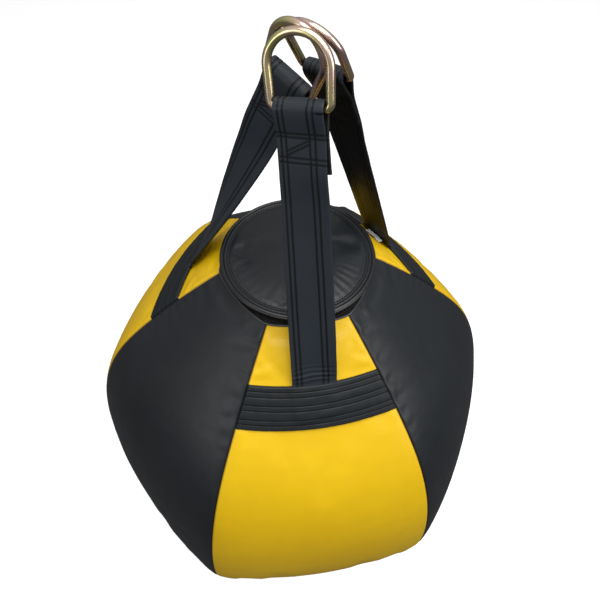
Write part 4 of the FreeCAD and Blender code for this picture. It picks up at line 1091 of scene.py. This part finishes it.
def lid_height(r, angle, extra):
    """Top surface of the lid; angle 0 is the front, extra is the simulated swelling."""
    dome = LID_DOME * np.clip(1 - (r / LID_SEW)**2, 0, 1)**0.85
    z = LID_LEVEL + dome + extra
    for row in LID_ROWS:
        z = z - 0.0003 * bump(r, row, 0.0006)
    z = z + 0.0005 * bump(r, 0.0846, 0.0014) - 0.0010 * step(r, 0.0857, LID_EDGE)
    x = r * np.sin(angle)
    y = -r * np.cos(angle)
    inside = step(LID_SEW - r, 0.0, 0.016)
    valley = 0.0030 * bump(y, 0.012 - 0.08 * x, 0.011) * step(np.abs(x), 0.012, 0.045)
    z = z - valley * inside
    fold = np.sin(angle * 46) * bump(angle, math.radians(42), math.radians(17)) * bump(r, 0.066, 0.011)
    z = z + 0.0003 * fold
    z = z + 0.0005 * ripple(x, y, 11, 0.05) * inside
    pucker = ripple(angle * 0.08, 0 * angle, 12, 0.007) * bump(r, 0.0775, 0.0035)
    return z + 0.00022 * pucker


def simulate_lid():
    """The lid's cloth between its stitched edge: extra cloth swells and wrinkles near the rows."""
    r = np.linspace(0.0015, LID_SEW, 26)
    a = full_circle(96)
    rr, aa = np.meshgrid(r, a, indexing="ij")
    start = polar(rr, aa, 0.003 * (1 - (rr / LID_SEW)**2))
    held = step(rr, LID_SEW - 0.003, LID_SEW - 0.0005)
    after = inflate(start.reshape(-1, 3), disc_faces(len(r), len(a)), held.ravel(), pressure=1.5, shrink=-0.010,
                    tension=12.0, bending=0.2)
    lift = after.reshape(start.shape)[..., 2] - start[..., 2]
    return r, a, 0.0012 * np.tanh(lift / 0.0024)


def make_lid():
    r = np.concatenate([np.linspace(0.001, 0.070, 34), np.linspace(0.0710, LID_EDGE, 46)])
    a = full_circle(LID_SPOKES)
    rr, aa = np.meshgrid(r, a, indexing="ij")
    extra = np.zeros_like(rr)
    sim_r, sim_a, lift = simulate_lid()
    wrapped_a = np.concatenate([sim_a, [2 * math.pi]])
    wrapped = np.concatenate([lift, lift[:, :1]], axis=1)
    rows = spline(sim_r, wrapped, np.clip(r, sim_r[0], sim_r[-1]))
    extra = spline(wrapped_a, rows.T, a).T * step(LID_SEW - rr, 0.0, 0.004)
    top = polar(rr, aa, lid_height(rr, aa, extra))
    under = top[-1:] * [1, 1, 0] + [0, 0, LID_UNDER]
    points = np.concatenate([top, under])
    faces = disc_faces(len(points), len(a))
    faces.append([(len(points) - 1) * len(a) + i for i in range(len(a))][::-1])
    panel = make_mesh("lid_cover", points, faces)
    finish_piece(panel, "lid_vinyl", "lid", "lid_panel")
    rows = []
    circle = np.linspace(0, 2 * math.pi, 361)
    for radius in LID_ROWS:
        line = polar(radius, circle, lid_height(np.full_like(circle, radius), circle, 0.0) + 0.0002)
        rows.append((line, everywhere((0, 0, 1), line)))
    finish_piece(stitch_mesh("lid_stitches", rows), "lid_vinyl", "lid", None, THREAD)
    # Rolled edge over a narrower lip, as one turned section.
    section = [(0.0864, 0.5165), (0.0866, 0.5181), (0.0873, 0.5189), (0.0884, 0.5192), (0.0896, 0.5189),
               (0.0905, 0.5182), (0.0907, 0.5176), (0.0903, 0.5172), (0.0908, 0.5170), (0.0914, 0.5165),
               (0.0915, 0.5160), (0.0909, 0.5157), (0.0890, 0.5157), (0.0870, 0.5159)]
    closed = np.array(section + section[:1])
    run = run_along(closed)
    smooth = spline(run, closed, np.linspace(0, run[-1], 43)[:-1])
    wave = 0.00018 * ripple(a * 0.09, 0 * a, 15, 0.03)
    points = polar(smooth[:, :1] + wave, a, smooth[:, 1:])
    rim = make_mesh("lid_edge", points, grid_faces(*points.shape[:2], wrap_rows=True, wrap_columns=True))
    finish_piece(rim, "binding", "lid", "lid_rim")


make_lid()

# ---- label

def make_label():
    """Small plain cloth label, sewn to the right yellow panel beside its strap."""
    local = turned([tuple(v.co) for v in nodes["blank_label"].data.vertices], -YELLOW["right"])
    x0, x1 = local[:, 0].min(), local[:, 0].max()
    s0, s1 = along_at(local[:, 2].min()), along_at(local[:, 2].max())
    across = np.linspace(x0, x1, 40)
    up = np.linspace(s0, s1, 16)
    xx, ss = np.meshgrid(across, up)
    uu = np.arcsin(xx / (seam_radius(ss) * BULGE)) / HALF_ARC
    normal = gore_normal(uu, ss)
    free = (ss - s0) / (s1 - s0)
    curl = 0.0008 + 0.0024 * (1 - free)**2 + 0.0003 * ripple(xx, ss, 17, 0.012)
    skin = flat_gore(uu, ss) + normal * curl[..., None]
    back = skin - normal * 0.0004
    rows, columns = xx.shape
    count = rows * columns
    faces = grid_faces(rows, columns).tolist() + (grid_faces(rows, columns)[:, ::-1] + count).tolist()
    edge = (list(range(columns)) + [r * columns + columns - 1 for r in range(1, rows)]
            + [(rows - 1) * columns + c for c in range(columns - 2, -1, -1)]
            + [r * columns for r in range(rows - 2, 0, -1)])
    for i, e in enumerate(edge):
        following = edge[(i + 1) % len(edge)]
        faces.append([following, e, e + count, following + count])
    points = turned(np.concatenate([skin.reshape(-1, 3), back.reshape(-1, 3)]), YELLOW["right"])
    label = make_mesh("plain_label", points, faces)
    finish_piece(label, "label", "bag", "blank_label")


make_label()

# ---- stage, light and camera

FLOOR = -0.45


def make_floor():
    across = np.linspace(-7.0, 7.0, 9)
    floor = make_mesh("floor", [(x, y, FLOOR) for x in across for y in across], grid_faces(9, 9)[:, ::-1])
    material, tree, shader, where = new_material("pale floor")
    tone = mix_colour(tree, noise(tree, where, 3.0), grey(0.92), grey(0.90))
    set_inputs(tree, shader, {"Base Color": tone, "Roughness": 0.9, "Specular IOR Level": 0.1,
                              "Emission Color": grey(1), "Emission Strength": 0.34})
    floor.data.materials.append(material)
    floor.visible_diffuse = False
    floor.visible_glossy = False


def add_light(name, place, target, size, power, colour=(1, 1, 1)):
    light = bpy.data.lights.new(name, "AREA")
    light.shape = "RECTANGLE"
    light.size, light.size_y = size
    light.energy = power
    light.color = colour
    obj = bpy.data.objects.new(name, light)
    obj.location = place
    obj.rotation_euler = (Vector(target) - Vector(place)).to_track_quat("-Z", "Y").to_euler()
    bpy.context.scene.collection.objects.link(obj)


def make_sky(tree):
    """Bright overhead, darker towards the horizon and dark below it."""
    background = tree.nodes["Background"]
    where = tree.nodes.new("ShaderNodeTexCoord").outputs["Generated"]
    height = add_node(tree, "ShaderNodeSeparateXYZ", {0: where}).outputs[2]
    set_inputs(tree, background, {0: grey(1), 1: remap(tree, height, -0.35, 0.9, 0.10, 0.60)})


make_floor()
world = bpy.data.worlds.new("studio")
world.use_nodes = True
make_sky(world.node_tree)
bpy.context.scene.world = world
add_light("top_box", (0.3, -0.4, 2.6), (0, 0, 0.3), (2.2, 2.2), 52)
add_light("right_box", (2.0, -1.3, 1.5), (0, 0, 0.3), (1.4, 1.8), 20)
add_light("left_box", (-2.2, -1.0, 1.3), (0, 0, 0.3), (1.0, 1.8), 9)

camera_data = bpy.data.cameras.new("camera")
camera_data.sensor_width = 36
camera_data.lens = 38.69
camera_data.shift_y = -0.10
camera = bpy.data.objects.new("camera", camera_data)
camera.location = (-0.07954, -0.47677, 1.09723)
camera.rotation_euler = tuple(math.radians(a) for a in (41.08, -1.106, -8.453))
bpy.context.scene.collection.objects.link(camera)
bpy.context.scene.camera = camera
bpy.context.scene.view_settings.view_transform = "Standard"
